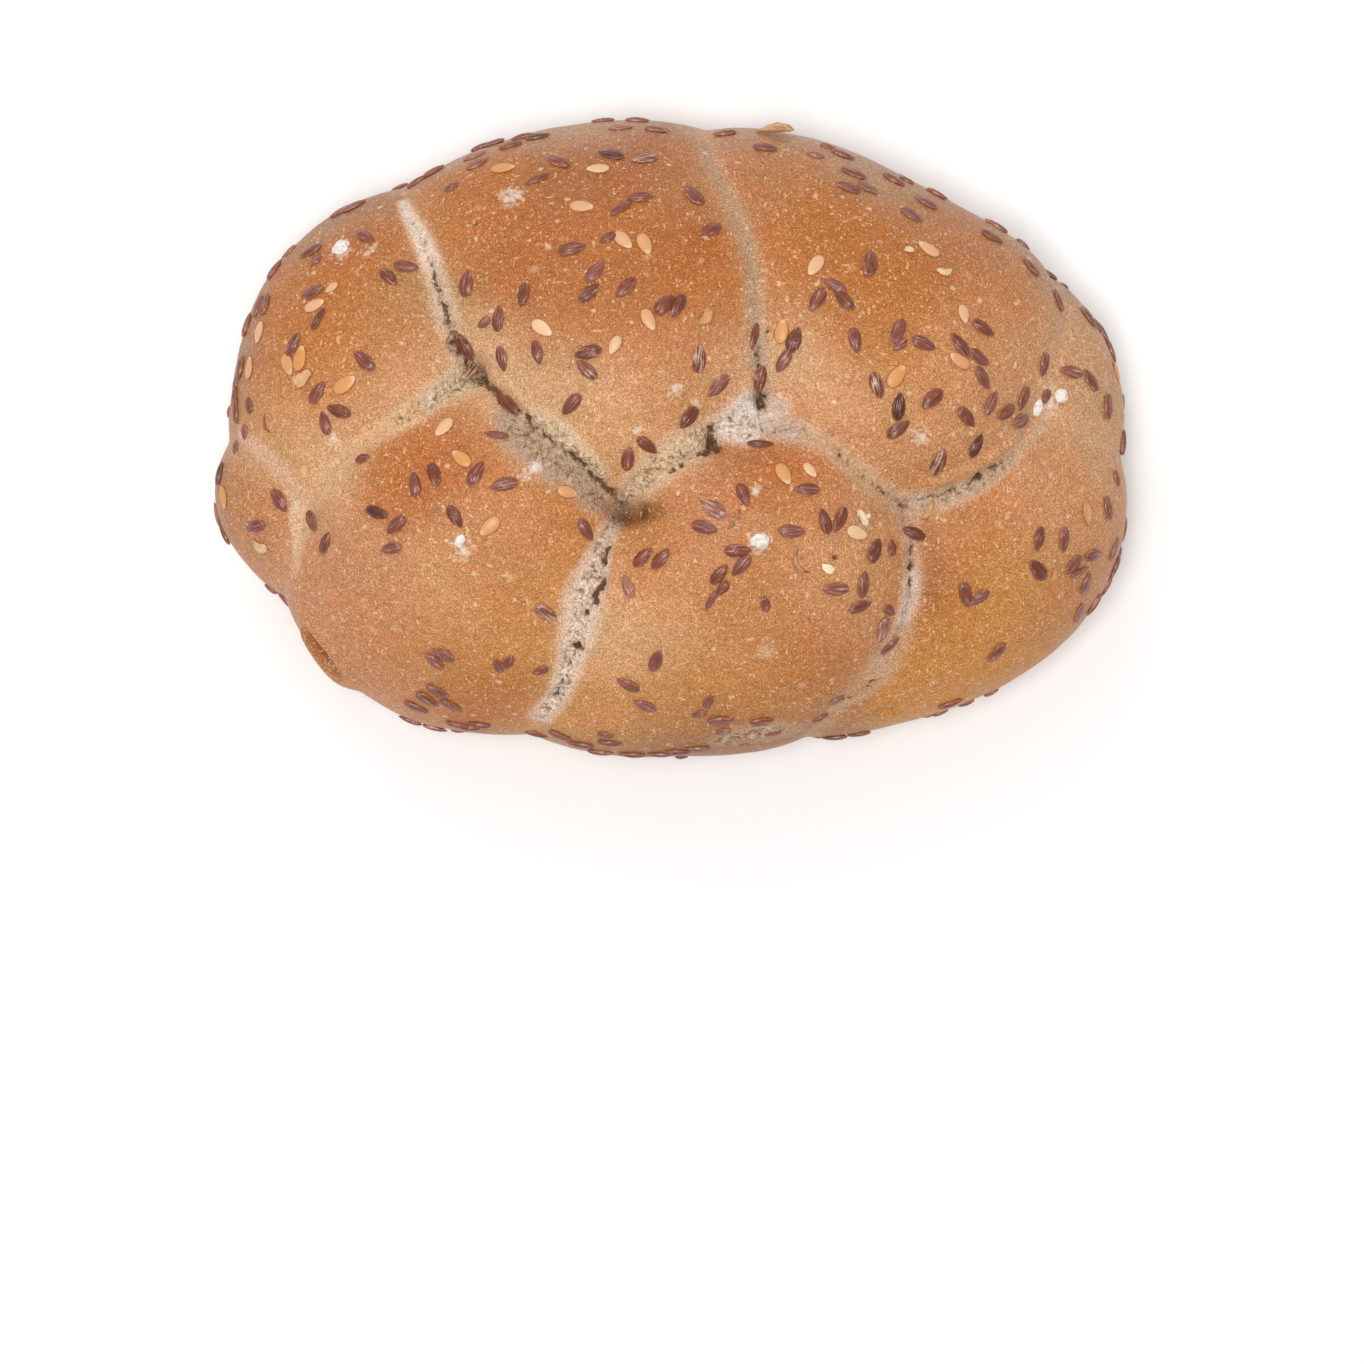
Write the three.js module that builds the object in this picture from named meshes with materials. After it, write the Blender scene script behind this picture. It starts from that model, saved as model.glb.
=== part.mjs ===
// A plaited bread roll, baked as one piece from a strand of dough laid over itself, with golden
// linseeds and lumps of flour stuck to its crust.
// Frame: +X along the roll, +Y towards its back, +Z up, origin under its middle on the surface it rests on.
// Units are millimetres.
import * as THREE from "three";
import { mergeVertices } from "three/addons/utils/BufferGeometryUtils.js";

// Driving dimensions of the roll before its seams are pressed in.
const LENGTH = 160;
const WIDTH = 112;
const HEIGHT = 56;
const WAIST_HEIGHT = 19; // the height at which the roll is widest
const BASE_SHARE = 0.86; // the flat base against the widest outline
const PLAN_POWER = 2.2; // 2 is an ellipse, and more is squarer
const DOME_POWER = 2.15;
const BASE_ROUNDING = 3; // from the flat base to where the side starts to rise
const CRUST_DETAIL = 21; // 20 x (detail + 1)^2 facets
const SIDE_SHARE = 0.88; // of the facets from top to bottom, those above the base

// A seam is a rounded valley. Its edge on the strand that lies on top is the steeper one.
const DEEPEST_SEAM = 9;
const TOP_STRAND_REACH = 17;
const LOWER_STRAND_REACH = 26;
const SEAM_FLOOR = 1.2; // half the width of a seam's round bottom
const SEAM_STEP = 2; // between the points at which a seam is measured

const HALF = new THREE.Vector2(LENGTH / 2, WIDTH / 2);
const DOME_RISE = HEIGHT - WAIST_HEIGHT;
const BELLY_DROP = WAIST_HEIGHT / Math.pow(1 - Math.pow(BASE_SHARE, DOME_POWER), 1 / DOME_POWER);
const BASE_ANGLE = Math.PI - Math.asin(Math.pow(BASE_SHARE, DOME_POWER / 2));
const WAIST = new THREE.Vector3(0, 0, WAIST_HEIGHT);
const UP = new THREE.Vector3(0, 0, 1);

// ---- The roll before its seams: a squared ellipsoid on a flat base ----

function planReach(x, y) {
  const sum = Math.pow(Math.abs(x) / HALF.x, PLAN_POWER) + Math.pow(Math.abs(y) / HALF.y, PLAN_POWER);
  return Math.pow(sum, 1 / PLAN_POWER);
}

// The point of the plain roll in a direction from the middle of its waist.
function plainPoint(direction) {
  const rise = direction.z / (direction.z > 0 ? DOME_RISE : -BELLY_DROP);
  const reach = Math.pow(planReach(direction.x, direction.y), DOME_POWER) + Math.pow(rise, DOME_POWER);
  return direction.clone().multiplyScalar(Math.pow(reach, -1 / DOME_POWER)).add(WAIST);
}

// The height of the plain roll's top over a place in plan.
function topHeight(x, y) {
  const reach = Math.min(planReach(x, y), 1);
  return WAIST_HEIGHT + DOME_RISE * Math.pow(1 - Math.pow(reach, DOME_POWER), 1 / DOME_POWER);
}

// Outwards from the plain roll. It turns level near the base, so that a seam never lifts the base.
function outwards(point) {
  const plan = Math.max(planReach(point.x, point.y), 1e-6);
  const share = Math.pow(plan, DOME_POWER - PLAN_POWER);
  const slope = (value, half) =>
    (Math.sign(value) * share * Math.pow(Math.abs(value) / half, PLAN_POWER - 1)) / half;
  const above = point.z - WAIST_HEIGHT;
  const drop = above > 0 ? DOME_RISE : BELLY_DROP;
  const upright = (Math.sign(above) * Math.pow(Math.abs(above) / drop, DOME_POWER - 1)) / drop;
  const level = THREE.MathUtils.smoothstep(point.z, 0, 14);
  return new THREE.Vector3(slope(point.x, HALF.x), slope(point.y, HALF.y), upright * level).normalize();
}

// The dough slumps flat where it rests, with a round edge between the flat base and the side.
function restHeight(height) {
  if (height > BASE_ROUNDING) return height;
  return Math.pow(Math.max(height + BASE_ROUNDING, 0), 2) / (4 * BASE_ROUNDING);
}

// ---- The swells, where a turn of dough stands out of the plain roll or falls short of it ----

// Each swell is [x, y, z, reach, rise].
const SWELLS = [
  [50, 44, 22, 24, -4.2], [72, -32, 20, 24, 3.2], [-41, 48, 20, 13, -1.8], [-79, 12, 20, 13, -2],
  [-80, -12, 20, 13, 2.2], [-48, -49, 20, 16, 1.4], [-44, -14, 50, 18, 1.2], [-6, 26, 52, 20, 1.6],
  [14, -22, 52, 18, 1.8], [38, 18, 50, 18, 1],
];

function swellAt(point) {
  return SWELLS.reduce((total, [x, y, z, reach, rise]) => {
    const away = Math.hypot(point.x - x, point.y - y, point.z - z) / reach;
    return total + rise * Math.exp(-away * away);
  }, 0);
}

// ---- The seams, where one turn of the strand meets the next ----

// Each stop is [x, y, depth] on the top, or [x, y, depth, z] on the sides. The strand that lies on top
// is on the left of the seam as its stops go.
const SEAMS = {
  back_left: [
    [-49, 36, 1.5, 1], [-48, 41, 2, 12], [-45.5, 44, 2.5, 24], [-44, 36, 4],
    [-41.5, 28, 4.5], [-39, 19, 5], [-35.5, 9.5, 6.5],
  ],
  middle_left: [[-35.5, 9.5, 6.5], [-29, 4.5, 6.5], [-22.5, -1.5, 5], [-16, -6.5, 5], [-8.5, -12.5, 7]],
  front_left_top: [
    [-35.5, 9.5, 6.5], [-39.5, 7.5, 4.5], [-45, 2.5, 4.5], [-51, -1, 4.5], [-57, -5, 4.5],
    [-62, -10.5, 4.5], [-65.5, -18, 4.5], [-66.5, -25, 4.5, 30], [-67, -30, 4.5, 18],
    [-64, -30, 3, 7], [-60, -28, 2, 0],
  ],
  left_end: [
    [-70, 2, 2, 0], [-75, 1.5, 3, 9], [-76.5, 0, 3.5, 20], [-73, -2.5, 3.5, 30], [-69.5, -6, 3.5, 36],
    [-64.5, -14, 4.5],
  ],
  middle: [[8.5, -0.5, 6.5], [3, -5, 5.5], [-3, -9, 5.5], [-8.5, -12.5, 7]],
  back_middle: [
    [16, 3, 6.5], [15.5, 10, 5], [14.5, 18, 4.5], [14, 26, 4], [12, 34, 4], [9, 41.5, 3.5],
    [6.5, 48, 3, 38], [5.5, 54, 2.5, 24], [5.5, 54, 2, 12], [5, 47, 1.5, 0],
  ],
  middle_right: [[40.5, -13.5, 5.5], [35, -9.5, 5], [30, -5, 5], [23, -1.5, 5], [16, -0.5, 5], [8.5, -0.5, 6.5]],
  right_top: [[40.5, -13.5, 5.5], [47, -11.5, 4.5], [53, -8, 4.5], [59, -3, 4], [64.5, 4, 3.5]],
  front_right: [
    [23, -48, 1.5, 0], [23, -54, 2.5, 10], [24, -53, 3, 22], [28.5, -48, 3.5, 34], [34, -42.5, 4],
    [39, -36, 4], [41.5, -29, 4.5], [42.5, -21, 4.5], [40.5, -13.5, 5.5],
  ],
  back_right: [
    [64.5, 4, 3.5], [66.5, 10, 3.5], [66, 18, 3, 33], [64.5, 26, 3, 26], [63, 32, 2.5, 16], [57, 31, 1.5, 0],
  ],
  right_end: [[71, -5, 1.5, 0], [78, -5, 2, 10], [79, -4, 2.5, 20], [75, -1, 3, 30], [64.5, 4, 3.5]],
  front_middle: [
    [-8.5, -12.5, 7], [-11, -19, 5.5], [-13.5, -27, 5], [-15.5, -35, 4.5], [-18, -42, 4],
    [-21.5, -48, 3.5, 34], [-24, -53, 3, 22], [-25, -53, 2.5, 11], [-24, -47, 1.5, 0],
  ],
};

function seamPoints(stops) {
  const onCrust = stops.map(([x, y, , z = topHeight(x, y)]) =>
    plainPoint(new THREE.Vector3(x, y, z).sub(WAIST).normalize()),
  );
  const route = new THREE.CatmullRomCurve3(onCrust);
  const depths = new THREE.CatmullRomCurve3(stops.map(([, , depth], i) => new THREE.Vector3(depth, i, 0)));
  const count = Math.ceil(route.getLength() / SEAM_STEP);
  return Array.from({ length: count + 1 }, (_, i) => ({
    place: route.getPoint(i / count),
    along: route.getTangent(i / count),
    depth: depths.getPoint(i / count).x,
  }));
}

const SEAM_POINTS = Object.values(SEAMS).map(seamPoints);

// How far one seam presses in the crust at a point, against the deepest seam.
function pressOf(seam, point, outward) {
  const away = new THREE.Vector3();
  let nearest = seam[0];
  let least = Infinity;
  for (const stop of seam) {
    const distance = away.subVectors(point, stop.place).length();
    if (distance < least) [least, nearest] = [distance, stop];
  }
  away.subVectors(point, nearest.place);
  const leftwards = new THREE.Vector3().crossVectors(outward, nearest.along).normalize();
  const side = least > 0 ? away.dot(leftwards) / least : 0;
  const reach = THREE.MathUtils.lerp(LOWER_STRAND_REACH, TOP_STRAND_REACH, 0.5 + 0.5 * side);
  const spread = Math.min(Math.hypot(least, SEAM_FLOOR) / reach, 1);
  return (nearest.depth / DEEPEST_SEAM) * (1 - Math.sqrt(1 - (1 - spread) ** 2));
}

// A point of the plain roll, pressed in by every seam near it.
function pressed(point) {
  const outward = outwards(point);
  const kept = SEAM_POINTS.reduce((share, seam) => share * (1 - pressOf(seam, point, outward)), 1);
  return point.clone().addScaledVector(outward, swellAt(point) - DEEPEST_SEAM * (1 - kept));
}

// The place on the crust of a point on a round ball. The roll's sides take most of the ball, and its
// base, which needs fewer facets, takes the rest.
function crustPoint(onBall) {
  const turn = onBall.angleTo(UP) / Math.PI;
  const angle =
    turn < SIDE_SHARE
      ? (turn / SIDE_SHARE) * BASE_ANGLE
      : THREE.MathUtils.mapLinear(turn, SIDE_SHARE, 1, BASE_ANGLE, Math.PI);
  const share = Math.pow(Math.sin(angle), 2 / DOME_POWER) / Math.max(planReach(onBall.x, onBall.y), 1e-9);
  const rise = Math.sign(Math.cos(angle)) * Math.pow(Math.abs(Math.cos(angle)), 2 / DOME_POWER);
  const height = WAIST_HEIGHT + rise * (rise > 0 ? DOME_RISE : BELLY_DROP);
  const point = pressed(new THREE.Vector3(onBall.x * share, onBall.y * share, height));
  return point.setZ(restHeight(point.z));
}

function bakedRoll() {
  const geometry = new THREE.IcosahedronGeometry(1, CRUST_DETAIL);
  geometry.deleteAttribute("normal");
  geometry.deleteAttribute("uv");
  const crust = mergeVertices(geometry);
  const places = crust.getAttribute("position");
  const onBall = new THREE.Vector3();
  for (let i = 0; i < places.count; i++) {
    const point = crustPoint(onBall.fromBufferAttribute(places, i).normalize());
    places.setXYZ(i, point.x, point.y, point.z);
  }
  crust.computeVertexNormals();
  const material = new THREE.MeshStandardMaterial({ color: 0xc0823f, roughness: 0.6, metalness: 0 });
  const mesh = new THREE.Mesh(crust, material);
  mesh.name = "baked_roll";
  return mesh;
}

// ---- What is stuck to the crust ----

const CLEARANCE = 0.3; // between the crust and what lies on it
const PROBE = 0.5; // how far off the crust's slope is felt

// A frame on the crust over a place in plan: z stands up from the crust, and x is turned from the length
// of the roll by an angle in degrees.
function crustFrame(x, y, turn) {
  const at = (dx, dy) => pressed(new THREE.Vector3(x + dx, y + dy, topHeight(x + dx, y + dy)));
  const lengthwise = at(PROBE, 0).sub(at(-PROBE, 0));
  const up = lengthwise.clone().cross(at(0, PROBE).sub(at(0, -PROBE))).normalize();
  const ahead = new THREE.Vector3(1, 0, 0).applyAxisAngle(UP, THREE.MathUtils.degToRad(turn));
  const across = up.clone().cross(ahead).normalize();
  return new THREE.Matrix4().makeBasis(across.clone().cross(up), across, up).setPosition(at(0, 0));
}

// A linseed is a flat drop, round at one end and pointed at the other.
const SEED = { length: 4.4, width: 2.5, thickness: 1.0 };
const SEED_PROFILE = [[0, -1], [0.5, -0.86], [0.86, -0.5], [1, -0.05], [0.84, 0.42], [0.45, 0.8], [0, 1]];
const SEED_SIDES = 8;

function seedGeometry() {
  const points = SEED_PROFILE.map(([radius, along]) => new THREE.Vector2(radius, along));
  const geometry = new THREE.LatheGeometry(points, SEED_SIDES);
  geometry.rotateZ(-Math.PI / 2);
  geometry.scale(SEED.length / 2, SEED.width / 2, SEED.thickness / 2);
  geometry.translate(0, 0, SEED.thickness / 2 + CLEARANCE);
  return geometry;
}

// A lump of flour is a rough pebble.
function lumpGeometry(length, width, height) {
  const geometry = new THREE.IcosahedronGeometry(1, 1);
  geometry.scale(length / 2, width / 2, height / 2);
  geometry.translate(0, 0, height / 2 + CLEARANCE);
  return geometry;
}

function onCrust(name, geometry, color, roughness, [x, y, turn]) {
  const mesh = new THREE.Mesh(geometry, new THREE.MeshStandardMaterial({ color, roughness, metalness: 0 }));
  mesh.name = name;
  mesh.applyMatrix4(crustFrame(x, y, turn));
  return mesh;
}

// Each seed and each lump is [x, y, turn].
const GOLDEN_LINSEEDS = [
  [-61.2, 21.8, 10], [-58.3, 24.8, 30], [-71.6, 17.8, 100], [-65, 12, 95], [-73.5, 11.6, 105],
  [-56, 7.9, 32], [-77.8, -10.5, -70], [-28.9, 45.4, -12], [-15.2, 37.5, -12], [-12.6, 44.5, -5],
  [-8.1, 31.3, -50], [-4.5, 30.6, -70], [-21.7, 16.8, -33], [-9.6, 13.8, 62], [-3.9, 17.8, -65],
  [-39.2, 0.4, 52], [-35.7, -5, -40], [-30.6, -16.6, 42], [-18, -11, -12], [18.8, 16.7, 82],
  [24.5, 27.8, 60], [44.1, 31.5, -38], [49.5, 19.7, 95], [48.6, 11.6, -28], [37.9, 8.8, 52],
  [19.1, -7.8, -65], [23.5, -7.2, -52], [31.5, -17.7, -12], [78.5, 11.5, 95],
];
const FLOUR_LUMPS = [[-57.2, 32.2, 20], [-35.6, -18.7, 60], [14.8, -18.9, 0], [69.6, 7.2, 30], [65.6, 4.4, 65]];

const roll = new THREE.Group();
roll.add(bakedRoll());
GOLDEN_LINSEEDS.forEach((place, i) => {
  roll.add(onCrust(`golden_linseed_${i + 1}`, seedGeometry(), 0xd9a066, 0.45, place));
});
FLOUR_LUMPS.forEach((place, i) => {
  roll.add(onCrust(`flour_lump_${i + 1}`, lumpGeometry(3, 2.2, 1.4), 0xece4da, 0.95, place));
});

export default roll;
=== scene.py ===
import math
import random

import bmesh
import bpy
import numpy as np
from mathutils import Matrix, Vector, kdtree, noise


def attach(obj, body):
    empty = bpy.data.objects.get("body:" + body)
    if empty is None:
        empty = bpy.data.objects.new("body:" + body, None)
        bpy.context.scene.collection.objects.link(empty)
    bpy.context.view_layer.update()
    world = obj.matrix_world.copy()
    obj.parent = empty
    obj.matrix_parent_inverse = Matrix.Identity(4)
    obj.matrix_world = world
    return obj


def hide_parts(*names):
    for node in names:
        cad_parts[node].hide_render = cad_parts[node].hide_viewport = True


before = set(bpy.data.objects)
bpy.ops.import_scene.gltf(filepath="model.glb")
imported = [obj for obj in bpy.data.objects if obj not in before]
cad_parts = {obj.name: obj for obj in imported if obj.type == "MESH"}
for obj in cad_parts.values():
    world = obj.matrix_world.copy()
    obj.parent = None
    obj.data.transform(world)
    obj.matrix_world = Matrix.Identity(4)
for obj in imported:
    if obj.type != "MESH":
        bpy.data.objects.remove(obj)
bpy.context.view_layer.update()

# ---- The baked roll ----
# A strand of wholemeal dough laid over itself in a plait, proved, and baked in one piece, so that its
# turns have grown together and left pressed seams between them. It is a squared ellipsoid on a flat
# base, swollen a little here and there and pressed in along every seam.

LENGTH = 160  # millimetres, as every size here is until a mesh is written
WIDTH = 112
HEIGHT = 56
WAIST_HEIGHT = 19  # where the roll is widest
BASE_SHARE = 0.86  # the flat base against the widest outline
PLAN_POWER = 2.2
DOME_POWER = 2.15
BASE_ROUNDING = 3
SIDE_SHARE = 0.88  # of the facets from top to bottom, those above the base
CUTS = 128  # each side of the cube that is blown up into the roll

DEEPEST_SEAM = 9
TOP_STRAND_REACH = 17
LOWER_STRAND_REACH = 26
SEAM_FLOOR = 1.2
SEAM_STEP = 1.0

HALF = np.array([LENGTH / 2, WIDTH / 2])
DOME_RISE = HEIGHT - WAIST_HEIGHT
BELLY_DROP = WAIST_HEIGHT / (1 - BASE_SHARE**DOME_POWER) ** (1 / DOME_POWER)
BASE_ANGLE = math.pi - math.asin(BASE_SHARE ** (DOME_POWER / 2))

# Each swell is x, y, z, reach and rise.
SWELLS = [
    (50, 44, 22, 24, -4.2), (72, -32, 20, 24, 3.2), (-41, 48, 20, 13, -1.8), (-79, 12, 20, 13, -2),
    (-80, -12, 20, 13, 2.2), (-48, -49, 20, 16, 1.4), (-44, -14, 50, 18, 1.2), (-6, 26, 52, 20, 1.6),
    (14, -22, 52, 18, 1.8), (38, 18, 50, 18, 1),
]

# Each stop of a seam is x, y, depth, and z where the seam runs down a side. The turn of dough that lies
# on top is on the left of the seam as its stops go.
SEAMS = {
    "back_left": [
        (-49, 36, 1.5, 1), (-48, 41, 2, 12), (-45.5, 44, 2.5, 24), (-44, 36, 4),
        (-41.5, 28, 4.5), (-39, 19, 5), (-35.5, 9.5, 6.5),
    ],
    "middle_left": [
        (-35.5, 9.5, 6.5), (-29, 4.5, 6.5), (-22.5, -1.5, 5), (-16, -6.5, 5), (-8.5, -12.5, 7),
    ],
    "front_left_top": [
        (-35.5, 9.5, 6.5), (-39.5, 7.5, 4.5), (-45, 2.5, 4.5), (-51, -1, 4.5), (-57, -5, 4.5),
        (-62, -10.5, 4.5), (-65.5, -18, 4.5), (-66.5, -25, 4.5, 30), (-67, -30, 4.5, 18),
        (-64, -30, 3, 7), (-60, -28, 2, 0),
    ],
    "left_end": [
        (-70, 2, 2, 0), (-75, 1.5, 3, 9), (-76.5, 0, 3.5, 20), (-73, -2.5, 3.5, 30),
        (-69.5, -6, 3.5, 36), (-64.5, -14, 4.5),
    ],
    "middle": [(8.5, -0.5, 6.5), (3, -5, 5.5), (-3, -9, 5.5), (-8.5, -12.5, 7)],
    "back_middle": [
        (16, 3, 6.5), (15.5, 10, 5), (14.5, 18, 4.5), (14, 26, 4), (12, 34, 4), (9, 41.5, 3.5),
        (6.5, 48, 3, 38), (5.5, 54, 2.5, 24), (5.5, 54, 2, 12), (5, 47, 1.5, 0),
    ],
    "middle_right": [
        (40.5, -13.5, 5.5), (35, -9.5, 5), (30, -5, 5), (23, -1.5, 5), (16, -0.5, 5), (8.5, -0.5, 6.5),
    ],
    "right_top": [(40.5, -13.5, 5.5), (47, -11.5, 4.5), (53, -8, 4.5), (59, -3, 4), (64.5, 4, 3.5)],
    "front_right": [
        (23, -48, 1.5, 0), (23, -54, 2.5, 10), (24, -53, 3, 22), (28.5, -48, 3.5, 34), (34, -42.5, 4),
        (39, -36, 4), (41.5, -29, 4.5), (42.5, -21, 4.5), (40.5, -13.5, 5.5),
    ],
    "back_right": [
        (64.5, 4, 3.5), (66.5, 10, 4.3), (66, 18, 4.3, 33), (64.5, 26, 4, 26), (63, 32, 3, 16),
        (57, 31, 1.5, 0),
    ],
    "right_end": [(71, -5, 1.5, 0), (78, -5, 2, 10), (79, -4, 2.5, 20), (75, -1, 3, 30), (64.5, 4, 3.5)],
    "front_middle": [
        (-8.5, -12.5, 7), (-11, -19, 5.5), (-13.5, -27, 5), (-15.5, -35, 4.5), (-18, -42, 4),
        (-21.5, -48, 3.5, 34), (-24, -53, 3, 22), (-25, -53, 2.5, 11), (-24, -47, 1.5, 0),
    ],
}


def plan_reach(x, y):
    return (np.abs(x / HALF[0]) ** PLAN_POWER + np.abs(y / HALF[1]) ** PLAN_POWER) ** (1 / PLAN_POWER)


def top_height(x, y):
    reach = np.minimum(plan_reach(x, y), 1)
    return WAIST_HEIGHT + DOME_RISE * (1 - reach**DOME_POWER) ** (1 / DOME_POWER)


# The point of the plain roll towards a place, from the middle of its waist.
def plain_point(x, y, z):
    away = np.array([x, y, z - WAIST_HEIGHT], float)
    rise = abs(away[2]) / (DOME_RISE if away[2] > 0 else BELLY_DROP)
    reach = (plan_reach(away[0], away[1]) ** DOME_POWER + rise**DOME_POWER) ** (1 / DOME_POWER)
    return away / reach + (0, 0, WAIST_HEIGHT)


def top_point(x, y):
    return plain_point(x, y, top_height(x, y))


def unit(vectors):
    return vectors / np.maximum(np.linalg.norm(vectors, axis=-1, keepdims=True), 1e-9)


def smooth_step(values, low, high):
    share = np.clip((values - low) / (high - low), 0, 1)
    return share * share * (3 - 2 * share)


def outwards(points):
    share = np.maximum(plan_reach(points[:, 0], points[:, 1]), 1e-6) ** (DOME_POWER - PLAN_POWER)
    plan = points[:, :2] / HALF
    slope = np.sign(plan) * share[:, None] * np.abs(plan) ** (PLAN_POWER - 1) / HALF
    above = points[:, 2] - WAIST_HEIGHT
    drop = np.where(above > 0, DOME_RISE, BELLY_DROP)
    upright = np.sign(above) * (np.abs(above) / drop) ** (DOME_POWER - 1) / drop
    return unit(np.column_stack([slope, upright * smooth_step(points[:, 2], 0, 14)]))


def smooth_line(stops, step):
    """A smooth curve through the stops, as rows a step apart."""
    stops = np.array(stops, float)
    ends = np.vstack([2 * stops[0] - stops[1], stops, 2 * stops[-1] - stops[-2]])
    rows = []
    for a, b, c, d in zip(ends, ends[1:], ends[2:], ends[3:]):
        count = max(int(np.linalg.norm((c - b)[:3]) / step), 2)
        t = np.arange(count)[:, None] / count
        rows.append(
            0.5 * (2 * b + (c - a) * t + (2 * a - 5 * b + 4 * c - d) * t**2 + (3 * b - a - 3 * c + d) * t**3)
        )
    return np.vstack(rows + [stops[-1:]])


def seam_line(stops):
    places = [plain_point(x, y, z[0] if z else top_height(x, y)) for x, y, _, *z in stops]
    line = smooth_line([[*place, stop[2]] for place, stop in zip(places, stops)], SEAM_STEP)
    return line[:, :3], unit(np.gradient(line[:, :3], axis=0)), line[:, 3]


SEAM_LINES = [seam_line(stops) for stops in SEAMS.values()]


def pressed(points):
    """Points of the plain roll, swollen and pressed in, and how near each is to a seam."""
    outward = outwards(points)
    kept = np.ones(len(points))
    nearest_seam = np.full(len(points), 99.0)
    for line, along, depth in SEAM_LINES:
        least = np.full(len(points), 1e9)
        stop = np.zeros(len(points), int)
        for i, place in enumerate(line):
            distance = ((points - place) ** 2).sum(1)
            nearer = distance < least
            least[nearer] = distance[nearer]
            stop[nearer] = i
        least = np.sqrt(least)
        leftwards = unit(np.cross(outward, along[stop]))
        side = ((points - line[stop]) * leftwards).sum(1) / np.maximum(least, 1e-9)
        reach = LOWER_STRAND_REACH + (TOP_STRAND_REACH - LOWER_STRAND_REACH) * (0.5 + 0.5 * side)
        spread = np.minimum(np.hypot(least, SEAM_FLOOR) / reach, 1)
        kept *= 1 - depth[stop] / DEEPEST_SEAM * (1 - np.sqrt(1 - (1 - spread) ** 2))
        nearest_seam = np.minimum(nearest_seam, least)
    swell = sum(
        rise * np.exp(-((points - (x, y, z)) ** 2).sum(1) / reach**2) for x, y, z, reach, rise in SWELLS
    )
    return points + outward * (swell - DEEPEST_SEAM * (1 - kept))[:, None], nearest_seam


def rested(points):
    """The dough slumps flat where it rests, with a round edge between the base and the side."""
    height = points[:, 2]
    slumped = np.maximum(height + BASE_ROUNDING, 0) ** 2 / (4 * BASE_ROUNDING)
    return np.column_stack([points[:, :2], np.where(height > BASE_ROUNDING, height, slumped)])


ball = bmesh.new()
bmesh.ops.create_cube(ball, size=2)
bmesh.ops.subdivide_edges(ball, edges=ball.edges[:], cuts=CUTS, use_grid_fill=True)
crust_mesh = bpy.data.meshes.new("baked_crust")
ball.to_mesh(crust_mesh)
ball.free()

cube = np.empty(len(crust_mesh.vertices) * 3, np.float32)
crust_mesh.vertices.foreach_get("co", cube)
on_ball = unit(np.tan(cube.reshape(-1, 3).astype(float) * math.pi / 4))
turn = np.arccos(np.clip(on_ball[:, 2], -1, 1)) / math.pi
angle = np.where(
    turn < SIDE_SHARE,
    turn / SIDE_SHARE * BASE_ANGLE,
    BASE_ANGLE + (turn - SIDE_SHARE) / (1 - SIDE_SHARE) * (math.pi - BASE_ANGLE),
)
share = np.abs(np.sin(angle)) ** (2 / DOME_POWER) / np.maximum(plan_reach(on_ball[:, 0], on_ball[:, 1]), 1e-9)
rise = np.sign(np.cos(angle)) * np.abs(np.cos(angle)) ** (2 / DOME_POWER)
plain = np.column_stack([
    on_ball[:, 0] * share,
    on_ball[:, 1] * share,
    WAIST_HEIGHT + rise * np.where(rise > 0, DOME_RISE, BELLY_DROP),
])

def tree_of(points):
    tree = kdtree.KDTree(len(points))
    for i, place in enumerate(points):
        tree.insert(place, i)
    tree.balance()
    return tree


# The cracks at the bottom of the seams, each with how open it stays along its length, from 0 to 1, and its
# stops of x, y and half the width.
CRACKS = [
    (0.42, [
        (-39.5, 20, 0.8), (-38.3, 16.5, 0.9), (-36.5, 13, 1), (-35, 9.9, 1.1), (-30.8, 6.6, 1.2), (-25.3, 1.8, 1.2),
        (-21, -2.1, 1), (-17.5, -4.5, 1), (-15, -6.4, 1.2), (-13.6, -8.3, 0.9), (-11, -10.9, 0.9), (-9, -13, 1),
    ]),
    (0.3, [(-10.6, -20.4, 0.6), (-11.6, -23.8, 0.8)]),
    (0.4, [(-11.8, -25.6, 0.7), (-12.2, -27.6, 0.9), (-13.2, -29.2, 0.8), (-13.2, -30.6, 0.8), (-14.8, -32.6, 0.7)]),
    (0.1, [(-14.8, -33.4, 0.5), (-15.4, -35.6, 0.6)]),
    (0.4, [(-16.2, -37.6, 0.6), (-17, -39.2, 0.7)]),
    (0, [(-17.5, -41, 0.5), (-18.3, -43, 0.5), (-20.6, -47.4, 0.5)]),
    (0.1, [
        (66.7, 2.2, 0.5), (62.2, -2.8, 0.5), (59, -4.6, 0.5), (55.2, -6.6, 0.6), (53.7, -8, 0.9),
        (51.7, -9.3, 0.6), (48.3, -10.9, 0.6), (44, -12.5, 0.6),
    ]),
    (0.3, [(6.2, -3.4, 0.8), (3, -5.4, 0.6), (0, -7.4, 0.5)]),
    (0.15, [(42.1, -20, 0.5), (41.9, -24, 0.8), (41.4, -30.2, 0.5)]),
    (0.1, [(35.2, -44, 0.5), (32.9, -46.2, 0.5), (30.5, -47.8, 0.5)]),
    (0.1, [(33, -8, 0.5), (38, -12, 0.6), (41, -13.8, 0.8)]),
    (0.9, [(15.7, 3.4, 1), (15.6, 5.4, 1.1)]),
    (0, [(15.6, 6, 0.5), (15.2, 10, 0.4), (14.6, 15, 0.4)]),
    (0, [(-46, 38.5, 0.4), (-43.8, 35, 0.5), (-42.2, 31, 0.5)]),
    (0.15, [(-42, 30.4, 0.6), (-41.2, 27.6, 0.7), (-40.3, 24.5, 0.7), (-39.5, 20, 0.7)]),
]
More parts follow.
